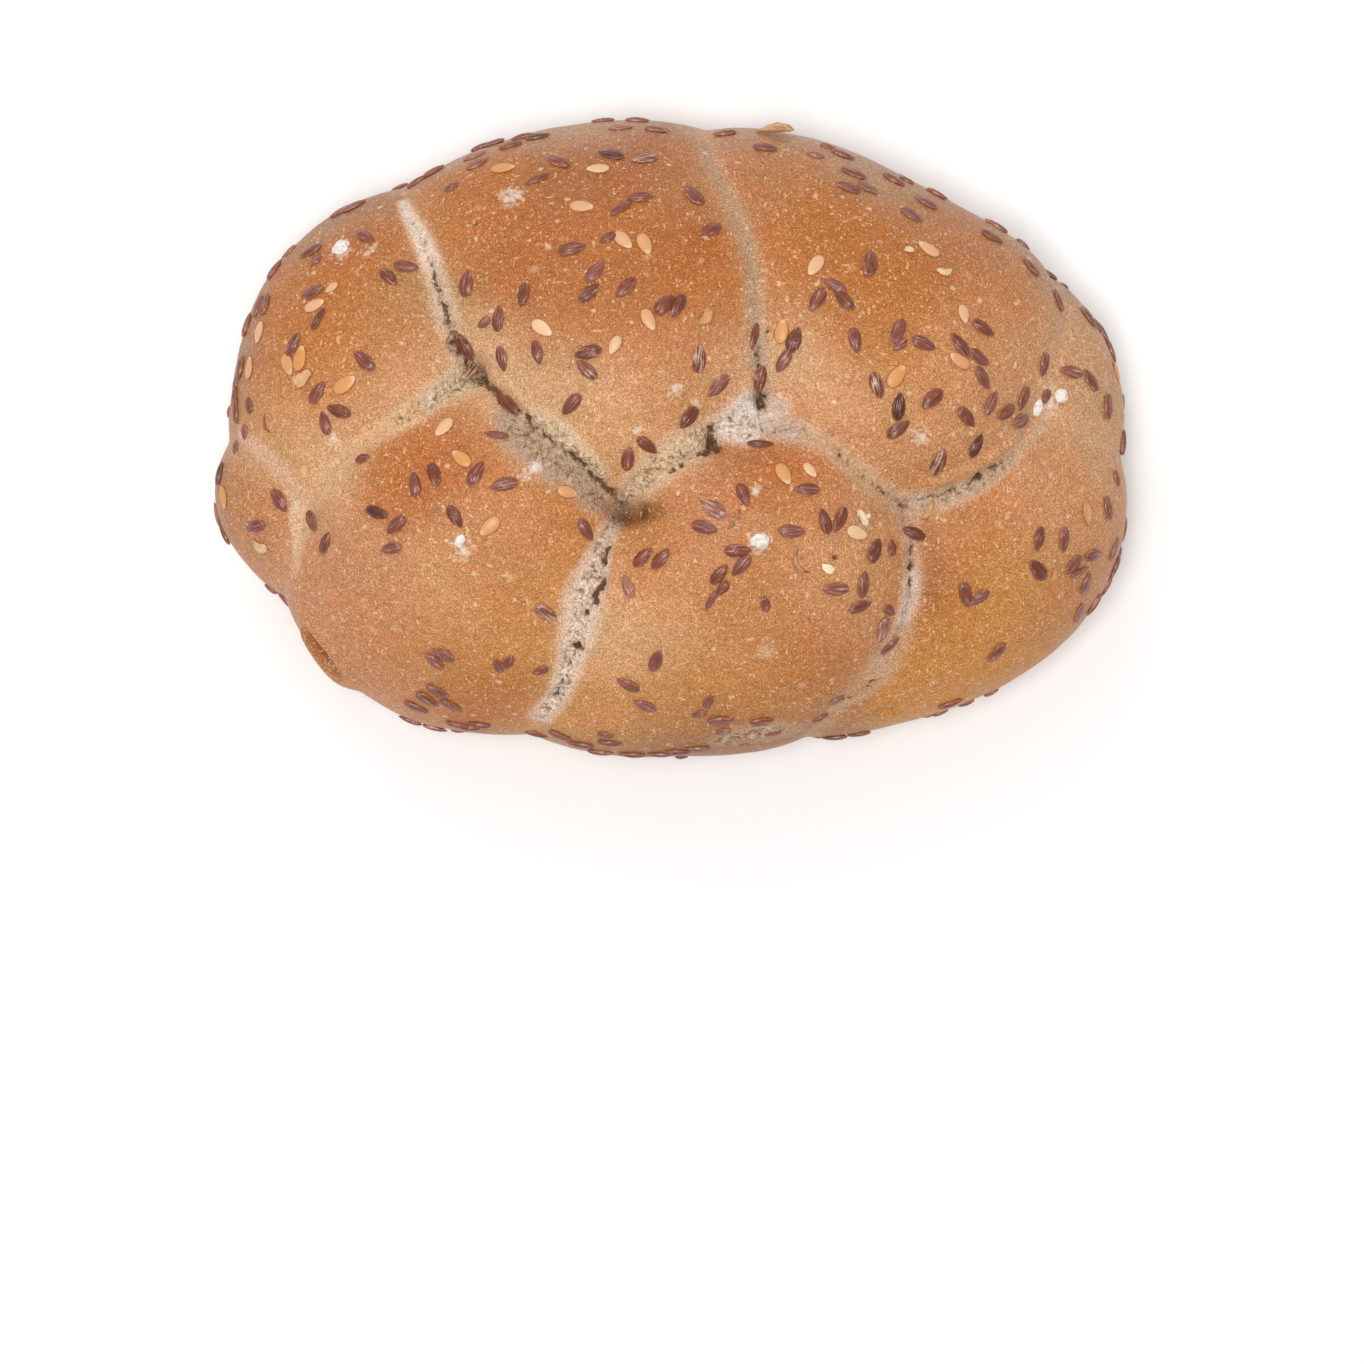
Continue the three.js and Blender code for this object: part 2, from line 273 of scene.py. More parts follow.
# Single holes, each x, y, half the width and depth.
HOLES = [
    (7, -1.6, 1.5, 2.8), (7.9, -3, 1.3, 2.4), (6, -3.8, 1, 1.6), (7.2, 0.1, 1, 1.4), (-16, -38.3, 0.9, 1.2),
    (53.7, -8, 1.1, 1.4), (16.4, 16.9, 0.7, 0.8), (11, -52.6, 1, 0.9), (14.4, -51.6, 0.9, 0.9),
    (17.6, -52.4, 1, 0.9), (12.8, -53.8, 0.9, 0.8), (19.8, -51.6, 0.8, 0.7),
    (15.3, 14.1, 0.6, 0.6), (14.5, 13, 0.6, 0.6), (-33.5, 35.6, 0.6, 0.5), (-36.2, -3, 0.6, 0.4),
    (-31.8, -4.4, 0.6, 0.5), (-36.7, -8, 0.5, 0.4), (-51.4, -7.8, 0.5, 0.4), (27.6, -21.8, 0.8, 0.7),
    (27.5, -1.4, 0.6, 0.6), (29, -4.5, 0.6, 0.6), (27.5, 8.5, 0.5, 0.4), (31.7, -48.8, 0.5, 0.4),
    (-15.8, -28.4, 0.7, 0.5), (-16.6, -29.8, 0.6, 0.4), (-14, -8, 0.8, 1.2), (41.9, -24, 0.9, 1),
]


def stops_along(stops, step):
    return smooth_line(stops, step) if len(stops) > 1 else np.array(stops, float)


def ragged(stops):
    """Stops close together along a crack, which wanders to either side as torn dough does."""
    line = stops_along(stops, 0.25)
    for stop in line:
        wander = noise.noise_vector(Vector((stop[0], stop[1], 0)) / 1.5)
        stop[:2] += 0.45 * np.array(wander[:2])
    return line


# The points of the crust nearest to a crack or a hole are moved on to it, so that it is cut sharply.
CRACK_LINES = [(openness, ragged(stops)) for openness, stops in CRACKS]
plain_tree = tree_of(plain)
for x, y, *_ in [stop for _, line in CRACK_LINES for stop in line[::2]] + HOLES:
    _, i, _ = plain_tree.find(top_point(x, y))
    plain[i] = top_point(x, y)
plain_tree = tree_of(plain)


def stroke(stops, step=0.4):
    """How near each point of the crust is to a line of (x, y, reach): 1 on it and 0 past its reach."""
    near = np.zeros(len(plain))
    for x, y, reach in stops if step is None else stops_along(stops, step):
        for _, i, distance in plain_tree.find_range(top_point(x, y), reach):
            near[i] = max(near[i], 1 - distance / reach)
    return near


crust, nearest_seam = pressed(plain)
crust = rested(crust)
crust_mesh.vertices.foreach_set("co", (crust / 1000).astype(np.float32).ravel())
crust_mesh.update()
crust_up = np.empty(len(crust) * 3, np.float32)
crust_mesh.vertex_normals.foreach_get("vector", crust_up)
crust_up = crust_up.reshape(-1, 3).astype(float)


def ripple(points, wavelength, seed=0):
    """Smooth noise from -1 to 1 with this wavelength in millimetres."""
    shift = Vector((seed * 17.3, seed * 5.1, seed * 11.9))
    return np.array([noise.noise(Vector(point) / wavelength + shift) for point in points])


# Where the dough tore as it rose, or was never exposed to the heat, a seam shows a band of pale crumb.
# Each band has its colour, how rough it is from 0 to 1, and its stops of x, y and reach.
SEAM_BANDS = [
    ("#e9d6c4", 0.5, [(-47.5, 42, 1), (-45.6, 38, 1.4), (-43, 33, 1.9), (-41.6, 29.5, 2)]),
    ("#d3b79c", 0.5, [(-41.6, 29.5, 2), (-40.5, 26, 2.3), (-39, 19.5, 2.6)]),
    ("#c6a88a", 0.8, [(-39, 19.5, 2), (-37.5, 14, 2.4), (-36, 11, 2.6)]),
    (
        "#b39880", 0.75,
        [(-29, 2.5, 2.2), (-26, -1, 3.6), (-23, -4, 4), (-19, -6.8, 3.8), (-15.5, -9.5, 3.2), (-13, -13, 2.6)],
    ),
    ("#d9bf9f", 0.9, [(-24, 2.5, 1.4), (-20, -0.5, 2.2), (-16, -4, 2), (-12, -8, 1.2)]),
    ("#cdb595", 1.0, [(-35.5, 9.5, 2.7), (-39.5, 7.5, 2.8), (-43, 4.5, 2.4), (-47, 1.8, 1.8)]),
    (
        "#d2a67c", 0.4,
        [
            (-45, 3, 2.2), (-52, -1.3, 1.8), (-57, -4.8, 1.8), (-61, -9, 1.9), (-64, -13, 2.1), (-66, -18, 1.8),
            (-66.8, -24, 1.5),
        ],
    ),
    (
        "#d5b896", 1.0,
        [(7.5, 0, 2.6), (3.8, -2.2, 3.3), (0.2, -4.8, 3.3), (-3.2, -7.4, 3.2), (-6, -10, 3), (-8.6, -12.8, 2)],
    ),
    (
        "#dccbbe", 1.0,
        [(9, 0.4, 2.2), (11.5, 2, 3), (14.5, 3.8, 3.4), (13.5, 0, 2.2)],
    ),
    ("#c8b09e", 1.0, [(16.5, 0.2, 2.2), (19.5, 0.2, 2.2), (24, -1.4, 1.7)]),
    ("#b0937a", 0.4, [(16, 5, 2.2), (15.3, 10, 1.9), (14.6, 16, 1.7), (14.2, 22, 1.6)]),
    ("#ac8a6c", 0.2, [(14.2, 22, 1.6), (13.8, 28, 1.6), (12.5, 34, 1.7), (10, 41, 1.5), (7, 47, 1.3), (5.5, 52, 1.2)]),
    ("#c99f7b", 0.6, [(24, -1, 2), (28, -3.8, 1.8), (33, -7.8, 1.9), (37, -11, 2.1), (40.5, -13.3, 2.3)]),
    (
        "#c2a48a", 0.8,
        [(41, -13.4, 2.4), (46, -12.6, 2.2), (50, -11, 2.2), (54, -8.8, 2.1), (57.5, -6.2, 1.6), (60, -4, 1.3)],
    ),
    ("#c9a381", 0.3, [(60, -4, 1.3), (64, -0.5, 1.1), (67, 3, 1), (68, 9, 1)]),
    ("#b8937a", 0.55, [(41, -14, 2.2), (42, -20, 1.8), (41.7, -26, 1.8)]),
    ("#cfb7a6", 0.55, [(41.7, -26, 1.8), (41, -31, 1.8), (38.5, -37, 1.5), (35, -43, 1.2)]),
    ("#bd9270", 0.2, [(39.5, -36, 2.6), (37, -42, 2.8), (34, -45.6, 2), (29, -49, 1.4)]),
    (
        "#e3ccb8", 0.95,
        [
            (-12.4, -23, 2.2), (-13.6, -26, 3), (-15, -29.5, 3.7), (-15.6, -33.5, 3.5),
            (-17, -38.5, 2.8), (-18.3, -43, 2.2), (-20, -47, 2), (-23, -50.5, 2.2),
        ],
    ),
    ("#ccb09a", 0.95, [(-10, -16, 1.6), (-11.6, -20, 2.1), (-13, -24, 2.6)]),
    ("#d2b7a2", 0.5, [(16.5, 3.6, 2.2), (19, 3.8, 1.8)]),
    ("#c09d82", 1.0, [(8.5, -53.2, 2.4), (12.5, -52.2, 3.6), (16.5, -51.8, 3.8), (20.5, -52, 2.6)]),
    ("#d6b18b", 0.3, [(-66.5, -12, 1.9), (-67, -15, 1.5), (-67, -19, 1.1), (-66.9, -23, 0.8)]),
    ("#a26230", 0, [(45, -17.5, 1.5), (45.6, -24, 2), (44.8, -30.5, 1.5)]),
    ("#dccabb", 0.8, [(10.8, -1, 1.6), (13.5, -1.6, 1.5)]),
    ("#d4a787", 0.1, [(-76, 0, 1.8), (-73, -2.5, 2), (-69.5, -6, 2.2), (-66, -11, 2.2)]),
]
# Dough that stands up beside a crack, where the turn on top ends.
LIPS = [
    [(-33.5, 11.6, 1.6), (-29.4, 8.2, 1.8), (-24.2, 3.6, 2), (-19.8, -0.8, 2.2), (-16, -3.4, 2.2), (-12.6, -6.8, 1.8)],
    [(5, -1.6, 1.8), (1.6, -3.8, 2), (-2, -6.4, 1.8)],
    [(-9.2, -22, 1.4), (-10, -27.5, 1.6), (-11, -32, 1.5), (-14, -38, 1.3)],
    [(46, -9.6, 1.6), (51, -7.4, 1.8), (56, -4.2, 1.6), (61, -0.6, 1.4)],
]

torn = np.maximum.reduce([stroke(stops) * rough for _, rough, stops in SEAM_BANDS])
lip = np.maximum.reduce([stroke(line) for line in LIPS])
gape = smooth_step(ripple(plain, 1.9, 3), -0.3, 0.2)
# hollow is how darkly each point in a crack or hole is painted with shade; sunk is how far the crust sinks there.
hollow = np.zeros(len(plain))
sunk = np.zeros(len(plain))
for openness, line in CRACK_LINES:
    gap = smooth_step(stroke(line, None), 0, 0.8) * (openness + (1 - openness) * gape)
    hollow = np.maximum(hollow, min(0.6 + openness, 1) * gap)
    sunk = np.maximum(sunk, (0.35 + 1.6 * openness) * gap)
for x, y, reach, depth in HOLES:
    hole = smooth_step(stroke([(x, y, reach)]), 0, 0.7)
    sunk = np.maximum(sunk, depth * hole)
    hollow = np.maximum(hollow, min(0.15 + depth, 1) * hole)

# Hollows where turns of dough meet: each x, y, reach, depth and the strength of the brown shadow in it.
DIPS = [
    (-8.6, -15, 4, 2.2, 1), (-5.4, -14.8, 3.4, 1.2, 0.85), (-2.4, -14.4, 2.6, 0.5, 0.4),
    (-11.4, -12.6, 3, 0.6, 0.2), (-34.5, 10.6, 3.6, 1.4, 0.6), (-38, 15.5, 2.4, 0.6, 0.4),
    (15, 5.5, 2.4, 0.8, 0.4),
]
# A bubble that burst at the front left: its hollow, and the skin that it blew out round about.
BUBBLE = [(-61.8, -35.2, 2.5), (-60.2, -37.4, 3.4), (-58.4, -39.4, 2.6)]
BUBBLE_SWELL = [(-61.2, -35.8, 6.5), (-59.6, -38, 7.5), (-57.6, -40.4, 6.5)]
# Small blisters of skin, and the rings that burst ones leave: each x, y and reach.
BLISTERS = [
    (-23.3, 26.7, 1), (-33, 38.2, 0.9), (-25.5, 33.2, 0.8), (5, 28.2, 0.8), (-4, 28.4, 0.8), (-51, -33.8, 0.9),
    (-12.5, 1.5, 1), (1.5, 7, 1.2), (4.2, 4.6, 1.4), (-1.5, 9.3, 1.1), (45.1, -42.8, 1.6), (16.1, -37.5, 2.2),
    (22.3, -43.3, 1.4), (-47, -33, 1.6), (30.5, 27.5, 1), (51, 27, 0.9), (-55, -12, 1), (-27.5, -25.5, 1),
]
RINGS = [(-9.6, -11.6, 1.3), (37.8, -48.2, 2.4), (45.1, -42.8, 1.2), (-47, -33, 1.3), (22.3, -43.3, 1.2)]

dip = 4.4 * smooth_step(stroke(BUBBLE), 0, 0.7) - 1.6 * smooth_step(stroke(BUBBLE_SWELL), 0, 0.75)
wet = smooth_step(stroke(BUBBLE), 0.05, 0.4)
shadow = np.zeros(len(plain))
for x, y, reach, depth, strength in DIPS:
    near = smooth_step(stroke([(x, y, reach)]), 0, 1)
    dip += depth * near
    shadow = np.maximum(shadow, strength * near)
blister = np.zeros(len(plain))
for x, y, reach in BLISTERS:
    blister = np.maximum(blister, smooth_step(stroke([(x, y, reach)]), 0, 0.8))
for x, y, reach in RINGS:
    near = stroke([(x, y, reach * 1.5)])
    dip += 0.5 * smooth_step(near, 0.3, 0.7) - 0.4 * smooth_step(near, 0, 0.3) * (1 - smooth_step(near, 0.3, 0.5))
dip -= 0.22 * blister

lumps = 0.35 * ripple(plain, 16, 1) + 0.12 * ripple(plain, 5, 2)
crumbs = (0.5 * ripple(plain, 2.1, 4) + 0.45 * ripple(plain, 1.2, 5)) * smooth_step(torn, 0.1, 0.6)
above_base = smooth_step(crust[:, 2], 2, 8)
crust = crust + crust_up * ((lumps + crumbs + 0.8 * smooth_step(lip, 0, 1) - dip - sunk) * above_base)[:, None]
crust[:, 2] = np.maximum(crust[:, 2], 0)
crust_mesh.vertices.foreach_set("co", (crust / 1000).astype(np.float32).ravel())


def linear(hex_colour):
    parts = [int(hex_colour[i : i + 2], 16) / 255 for i in (1, 3, 5)]
    return [part / 12.92 if part <= 0.04045 else ((part + 0.055) / 1.055) ** 2.4 for part in parts]


# Oven colour of the crust, with a painted sheen on its rim: each tone, and the places where it lies, as x and y.
# The greyer, pinker tones on the back and left rim (#b98f72, #b07f60) are where the sheen is painted.
BROWNING_AND_RIM_SHEEN = {
    "#b2652f": [(2, 26), (20, -6), (14, -6.5), (-42, -6)],
    "#b06b38": [(-24, 27), (-17, 21), (-12, 27), (-6, 22), (-30, 34)],
    "#ad6a38": [(45, -25), (44, -22), (43.5, -30)],
    "#ab6a42": [(-5, 46), (-16, 42)],
    "#ab7545": [(5, -50), (14, -50), (24, -50)],
    "#b9753d": [
        (27, 35), (42, 24), (34, 14), (-46, -4), (-37, -3), (-30, -45), (24, -38), (-47, 17), (-12, 33),
        (-36, 40), (-30, 41), (-60, 26), (-54, 29), (-54, 22),
    ],
    "#bc7c48": [(-11, 17), (1, 15), (-18, 17), (9, 22), (24, -9), (13, -26), (-5, -20), (-66, 22), (46, -8)],
    "#b97d52": [(-74, -8), (46, 40), (54, 34), (15, 46), (2, 44)],
    "#b07f60": [(-58, 38), (-77, 12), (-76, 20)],
    "#b08c62": [(-44, 24)],
    "#b98f72": [(-14, 53), (38, 46), (63, 34), (12, 53), (-35, 51), (-84, -5)],
    "#c2804c": [(-30, -14), (-27, -21), (-24, -15), (-25, -27), (18, -13), (-37, 33)],
    "#c2814d": [(57, 22), (-56, 17), (-45, -40), (52, -20), (63, -32), (-58, 9), (-66, 5)],
    "#cb8d4c": [(50, -36), (60, -37), (56, -42), (43, -44), (48, -27), (54, -30)],
    "#c98f55": [(2, -45), (-22, -28), (16, -46), (-27, -37), (-12, -45), (-18, -51), (60, -26), (42, 10)],
    "#c88e68": [
        (-70, -24), (-62, -27), (-52, -42), (-50, -24), (-64, -20), (66, -10), (72, -22), (7, -9), (48, 4),
        (49, 11), (54, 15), (30, -31), (31, -13), (37, -15),
    ],
    "#cb9062": [(14, -32), (0, -27), (-2, 9), (-36, -31), (-48, -38)],
    "#d09a6e": [(25, -19), (31, -21), (36, -26), (61, 10), (54, 9), (42, -3), (67, -13), (73, -9), (-38, -25)],
    "#d3a075": [(-10, 3), (25, 6), (-62, -2), (-47, 7), (-5, -33), (-71, -3)],
    "#cb9e7a": [(-20, 9), (71, 3), (74, 6), (69, 17), (12, 10)],
    "#d8b08c": [(-25, 6), (-12, -38), (-61, -4), (-34, 12)],
}
BROWNING_REACH = 8

weights = np.full(len(plain), 1e-6)
tone = np.tile(linear("#c08555"), (len(plain), 1)) * 1e-6
for hex_colour, places in BROWNING_AND_RIM_SHEEN.items():
    for x, y in places:
        weight = np.exp(-((plain - top_point(x, y)) ** 2).sum(1) / BROWNING_REACH**2)
        tone += weight[:, None] * linear(hex_colour)
        weights += weight
tone *= np.array([0.87, 0.81, 0.7]) / weights[:, None]
beside_seam = 0.38 * np.exp(-((nearest_seam / 2.5) ** 2)) * above_base
tone += (np.array(linear("#cfa27a")) - tone) * beside_seam[:, None]
for hex_colour, _, stops in SEAM_BANDS:
    cover = 0.85 * smooth_step(stroke([(x, y, reach * 1.4) for x, y, reach in stops]), 0, 0.75)
    tone += (np.array(linear(hex_colour)) - tone) * cover[:, None]
for hex_colour, cover in (("#5c3820", shadow), ("#96561f", wet), ("#dcb08c", 0.5 * blister)):
    tone += (np.array(linear(hex_colour)) - tone) * cover[:, None]
# Painted shade: the crust is painted darker along its front edge, except on torn crumb.
front_rim_shade = 0.5 * smooth_step(-crust[:, 1], 50, 55) * (1 - smooth_step(torn, 0, 0.4))
tone += (np.array(linear("#95603a")) - tone) * front_rim_shade[:, None]
underneath = 1 - smooth_step(crust[:, 2], 0.5, 9)
tone += (np.array(linear("#b98150")) - tone) * (0.7 * underneath)[:, None]


# Flour dust that the dough picked up: each x, y, reach and strength.
DUST = [
    (11.5, 2.4, 3, 0.45), (14, 3.6, 3.4, 0.75), (0.5, 6.5, 2.6, 0.45), (3.8, 3.6, 2, 0.4),
    (-52, 31.8, 2.2, 0.6),
    (-27.2, 40, 3.4, 0.75), (-23.2, -6.5, 1.8, 1), (-25, -8, 2, 0.6), (14.3, -10.6, 1.6, 0.8), (42.2, -1.2, 2.6, 0.6),
    (-5.8, -0.4, 1.2, 0.8), (-58.5, -1.5, 2, 0.5), (14.8, -18.9, 3, 0.7), (-35.4, -20, 3.2, 0.6), (68, 5.5, 3, 0.6),
    (32.6, -17, 2.4, 0.5), (-42, 5.5, 2.4, 0.5), (-57, 31, 3, 0.5), (10.5, -52.5, 2.4, 0.5), (16, -51.5, 3, 0.5),
    (-66.8, -13.2, 1.6, 0.5), (3.5, -3, 2.6, 0.4), (44, -12.6, 2.4, 0.5), (-30, -43, 2.6, 0.25),
]
dust = np.zeros(len(plain))
for x, y, reach, strength in DUST:
    dust = np.maximum(dust, strength * stroke([(x, y, reach)]))


def paint(mesh, name, values):
    """Writes a number, or a colour, at each point of a mesh for its material to read."""
    if values.ndim == 1:
        mesh.attributes.new(name, "FLOAT", "POINT").data.foreach_set("value", values.astype(np.float32))
        return
    colours = np.column_stack([values, np.ones(len(values))]).astype(np.float32)
    mesh.attributes.new(name, "FLOAT_COLOR", "POINT").data.foreach_set("color", colours.ravel())


# The crust's colour, holding the painted sheen on the rim and the painted shade in the dips and along the front.
paint(crust_mesh, "browning_and_painted_light", tone)
paint(crust_mesh, "torn", torn)
paint(crust_mesh, "hollow", hollow)
paint(crust_mesh, "dust", dust)
paint(crust_mesh, "wet", wet)


def add(material, kind, sockets, **settings):
    """Adds a node with its settings, and gives each of its sockets a value or the output that feeds it."""
    made = material.node_tree.nodes.new("ShaderNode" + kind)
    for name, value in settings.items():
        setattr(made, name, value)
    for socket, value in sockets.items():
        if isinstance(value, bpy.types.NodeSocket):
            material.node_tree.links.new(value, made.inputs[socket])
        else:
            made.inputs[socket].default_value = value
    return made


def new_material(name):
    material = bpy.data.materials.new(name)
    material.use_nodes = True
    material.node_tree.nodes.clear()
    return material


# Wheat crust, baked: the strand's skin is dry, thin and a little shiny where it browned, with fine pale
# specks of flour and bran all over it. In the torn seams it gives way to matt, grey and cream crumb.
crust_look = new_material("baked_wheat_crust")
place = add(crust_look, "TexCoord", {}).outputs["Object"]
browning_and_painted_light = add(crust_look, "Attribute", {}, attribute_name="browning_and_painted_light").outputs["Color"]
torn_out = add(crust_look, "Attribute", {}, attribute_name="torn").outputs["Fac"]
hollow_out = add(crust_look, "Attribute", {}, attribute_name="hollow").outputs["Fac"]
dust_out = add(crust_look, "Attribute", {}, attribute_name="dust").outputs["Fac"]
wet_out = add(crust_look, "Attribute", {}, attribute_name="wet").outputs["Fac"]

# Scales are one over the size in metres: blotches 9 mm, mottling 3 mm, patches 0.9 mm, grain 0.25 mm.
blotch = add(crust_look, "TexNoise", {"Vector": place, "Scale": 110, "Detail": 2}).outputs["Fac"]
mottle = add(crust_look, "TexNoise", {"Vector": place, "Scale": 330, "Detail": 2}).outputs["Fac"]
patches = add(crust_look, "TexNoise", {"Vector": place, "Scale": 1100, "Detail": 1}).outputs["Fac"]
grain = add(crust_look, "TexNoise", {"Vector": place, "Scale": 4000, "Detail": 1}).outputs["Fac"]
mottling = add(
    crust_look, "MapRange", {"Value": mottle, "From Min": 0.3, "From Max": 0.7, "To Min": 0.95, "To Max": 1.05}
).outputs["Result"]
patching = add(
    crust_look, "MapRange", {"Value": patches, "From Min": 0.3, "From Max": 0.7, "To Min": 0.91, "To Max": 1.07}
).outputs["Result"]
shade = add(crust_look, "Math", {0: mottling, 1: patching}, operation="MULTIPLY").outputs[0]
grain_ramp = add(crust_look, "ValToRGB", {"Fac": grain})
grain_ramp.color_ramp.elements[0].position = 0.3
grain_ramp.color_ramp.elements[0].color = (0.74, 0.6, 0.46, 1)
grain_ramp.color_ramp.elements[1].position = 0.7
grain_ramp.color_ramp.elements[1].color = (1.42, 1.62, 1.95, 1)
grain_ramp.color_ramp.elements.new(0.5).color = (1, 1, 1, 1)
blotches = add(crust_look, "ValToRGB", {"Fac": blotch})
blotches.color_ramp.elements[0].position = 0.32
blotches.color_ramp.elements[0].color = (1.03, 0.96, 0.93, 1)
blotches.color_ramp.elements[1].position = 0.68
blotches.color_ramp.elements[1].color = (0.98, 1.02, 1.0, 1)
blotched = add(
    crust_look, "VectorMath", {0: browning_and_painted_light, 1: blotches.outputs["Color"]}, operation="MULTIPLY"
).outputs[0]
grained = add(
    crust_look, "VectorMath", {0: blotched, 1: grain_ramp.outputs["Color"]}, operation="MULTIPLY"
).outputs[0]
skin = add(crust_look, "VectorMath", {0: grained, "Scale": shade}, operation="SCALE").outputs[0]
bent = add(crust_look, "TexNoise", {"Vector": place, "Scale": 900, "Detail": 2}).outputs["Color"]
bent_place = add(
    crust_look, "VectorMath", {0: bent, 1: (0.0011, 0.0011, 0.0011), 2: place}, operation="MULTIPLY_ADD"
).outputs[0]
flecked = skin
for scale, least, cover in (
    ((2100, 2100, 2100), 0.3, 0.6), ((1300, 1300, 1300), 0.65, 0.6), ((640, 640, 640), 0.9, 0.6),
    ((1500, 480, 900), 0.7, 0.5), ((500, 1500, 900), 0.8, 0.45),
):
    stretched = add(crust_look, "Mapping", {"Vector": bent_place, "Scale": scale}).outputs["Vector"]
    cells = add(crust_look, "TexVoronoi", {"Vector": stretched, "Scale": 1})
    chance_of_fleck = add(crust_look, "SeparateColor", {0: cells.outputs["Color"]}).outputs[0]
    fleck_size = add(crust_look, "MapRange", {
        "Value": chance_of_fleck, "From Min": least, "From Max": 1, "To Min": 0, "To Max": 0.36,
    }).outputs["Result"]
    fleck_rim = add(crust_look, "Math", {0: fleck_size, 1: cells.outputs["Distance"]}, operation="SUBTRACT").outputs[0]
    fleck = add(crust_look, "MapRange", {
        "Value": fleck_rim, "From Min": -0.05, "From Max": 0.15, "To Min": 0, "To Max": cover,
    }).outputs["Result"]
    flecked = add(
        crust_look, "Mix", {0: fleck, 6: flecked, 7: (*linear("#f0cda2"), 1)}, data_type="RGBA"
    ).outputs[2]

# The crumb keeps the colour painted on its seam. It is made of granules 0.6 mm wide, painted lighter at
# their middles, with painted shade in the gaps between them and in pores here and there.
crumb_noise = add(crust_look, "TexNoise", {"Vector": place, "Scale": 1100, "Detail": 4}).outputs["Fac"]
fray = add(crust_look, "MapRange", {
    "Value": crumb_noise, "From Min": 0.3, "From Max": 0.7, "To Min": -0.3, "To Max": 0.3,
}).outputs["Result"]
edge = add(crust_look, "Math", {0: torn_out, 1: fray}, operation="ADD").outputs[0]
torn_mask = add(
    crust_look, "MapRange", {"Value": edge, "From Min": 0.05, "From Max": 0.65}, interpolation_type="SMOOTHSTEP"
).outputs["Result"]
torn_on = add(crust_look, "Math", {0: torn_out, 1: 0.02}, operation="GREATER_THAN").outputs[0]
torn_cover = add(crust_look, "Math", {0: torn_mask, 1: torn_on}, operation="MULTIPLY").outputs[0]
granules = add(crust_look, "TexVoronoi", {"Vector": bent_place, "Scale": 1700}).outputs["Distance"]
granule_shade_ramp = add(crust_look, "ValToRGB", {"Fac": granules})
granule_shade_ramp.color_ramp.elements[0].position = 0.1
granule_shade_ramp.color_ramp.elements[0].color = (1.22, 1.24, 1.27, 1)
granule_shade_ramp.color_ramp.elements[1].position = 0.85
granule_shade_ramp.color_ramp.elements[1].color = (0.66, 0.6, 0.55, 1)
granule_shade_ramp.color_ramp.elements.new(0.5).color = (0.99, 0.98, 0.97, 1)
pores = add(crust_look, "TexNoise", {"Vector": bent_place, "Scale": 1000, "Detail": 3}).outputs["Fac"]
pore_shade_ramp = add(crust_look, "ValToRGB", {"Fac": pores})
pore_shade_ramp.color_ramp.elements[0].position = 0.32
pore_shade_ramp.color_ramp.elements[0].color = (0.42, 0.34, 0.27, 1)
pore_shade_ramp.color_ramp.elements[1].position = 0.62
pore_shade_ramp.color_ramp.elements[1].color = (1.24, 1.27, 1.31, 1)
pore_shade_ramp.color_ramp.elements.new(0.42).color = (0.93, 0.91, 0.88, 1)
crumb_grain_and_shade = add(
    crust_look, "VectorMath", {0: granule_shade_ramp.outputs["Color"], 1: pore_shade_ramp.outputs["Color"]}, operation="MULTIPLY"
).outputs[0]
crumb_loose = add(
    crust_look, "MapRange", {"Value": torn_out, "From Min": 0.1, "From Max": 0.6, "To Min": 0.15, "To Max": 1}
).outputs["Result"]
crumb_shade = add(
    crust_look, "Mix", {0: crumb_loose, 6: (1, 1, 1, 1), 7: crumb_grain_and_shade}, data_type="RGBA"
).outputs[2]
crumb_tone = add(crust_look, "VectorMath", {0: browning_and_painted_light, 1: crumb_shade}, operation="MULTIPLY").outputs[0]
crumb = add(crust_look, "VectorMath", {0: crumb_tone, "Scale": shade}, operation="SCALE").outputs[0]
with_crumb = add(crust_look, "Mix", {0: torn_cover, 6: flecked, 7: crumb}, data_type="RGBA").outputs[2]
frayed_dust = add(crust_look, "Math", {0: dust_out, 1: fray}, operation="ADD").outputs[0]
dust_cover = add(
    crust_look, "MapRange", {"Value": frayed_dust, "From Min": 0.2, "From Max": 0.75, "To Max": 0.85}
).outputs["Result"]
dusted = add(
    crust_look, "Mix", {0: dust_cover, 6: with_crumb, 7: (*linear("#eadccd"), 1)}, data_type="RGBA"
).outputs[2]
# Painted shade: the cracks and holes are painted dark brown where they go deep.
frayed_hollow = add(
    crust_look, "Math", {0: fray, 1: 1.1, 2: hollow_out}, operation="MULTIPLY_ADD"
).outputs[0]
crack_shade_cover = add(
    crust_look, "MapRange", {"Value": frayed_hollow, "From Min": 0.25, "From Max": 0.7}
).outputs["Result"]
with_crack_shade = add(
    crust_look, "Mix", {0: crack_shade_cover, 6: dusted, 7: (*linear("#694c33"), 1)}, data_type="RGBA"
).outputs[2]

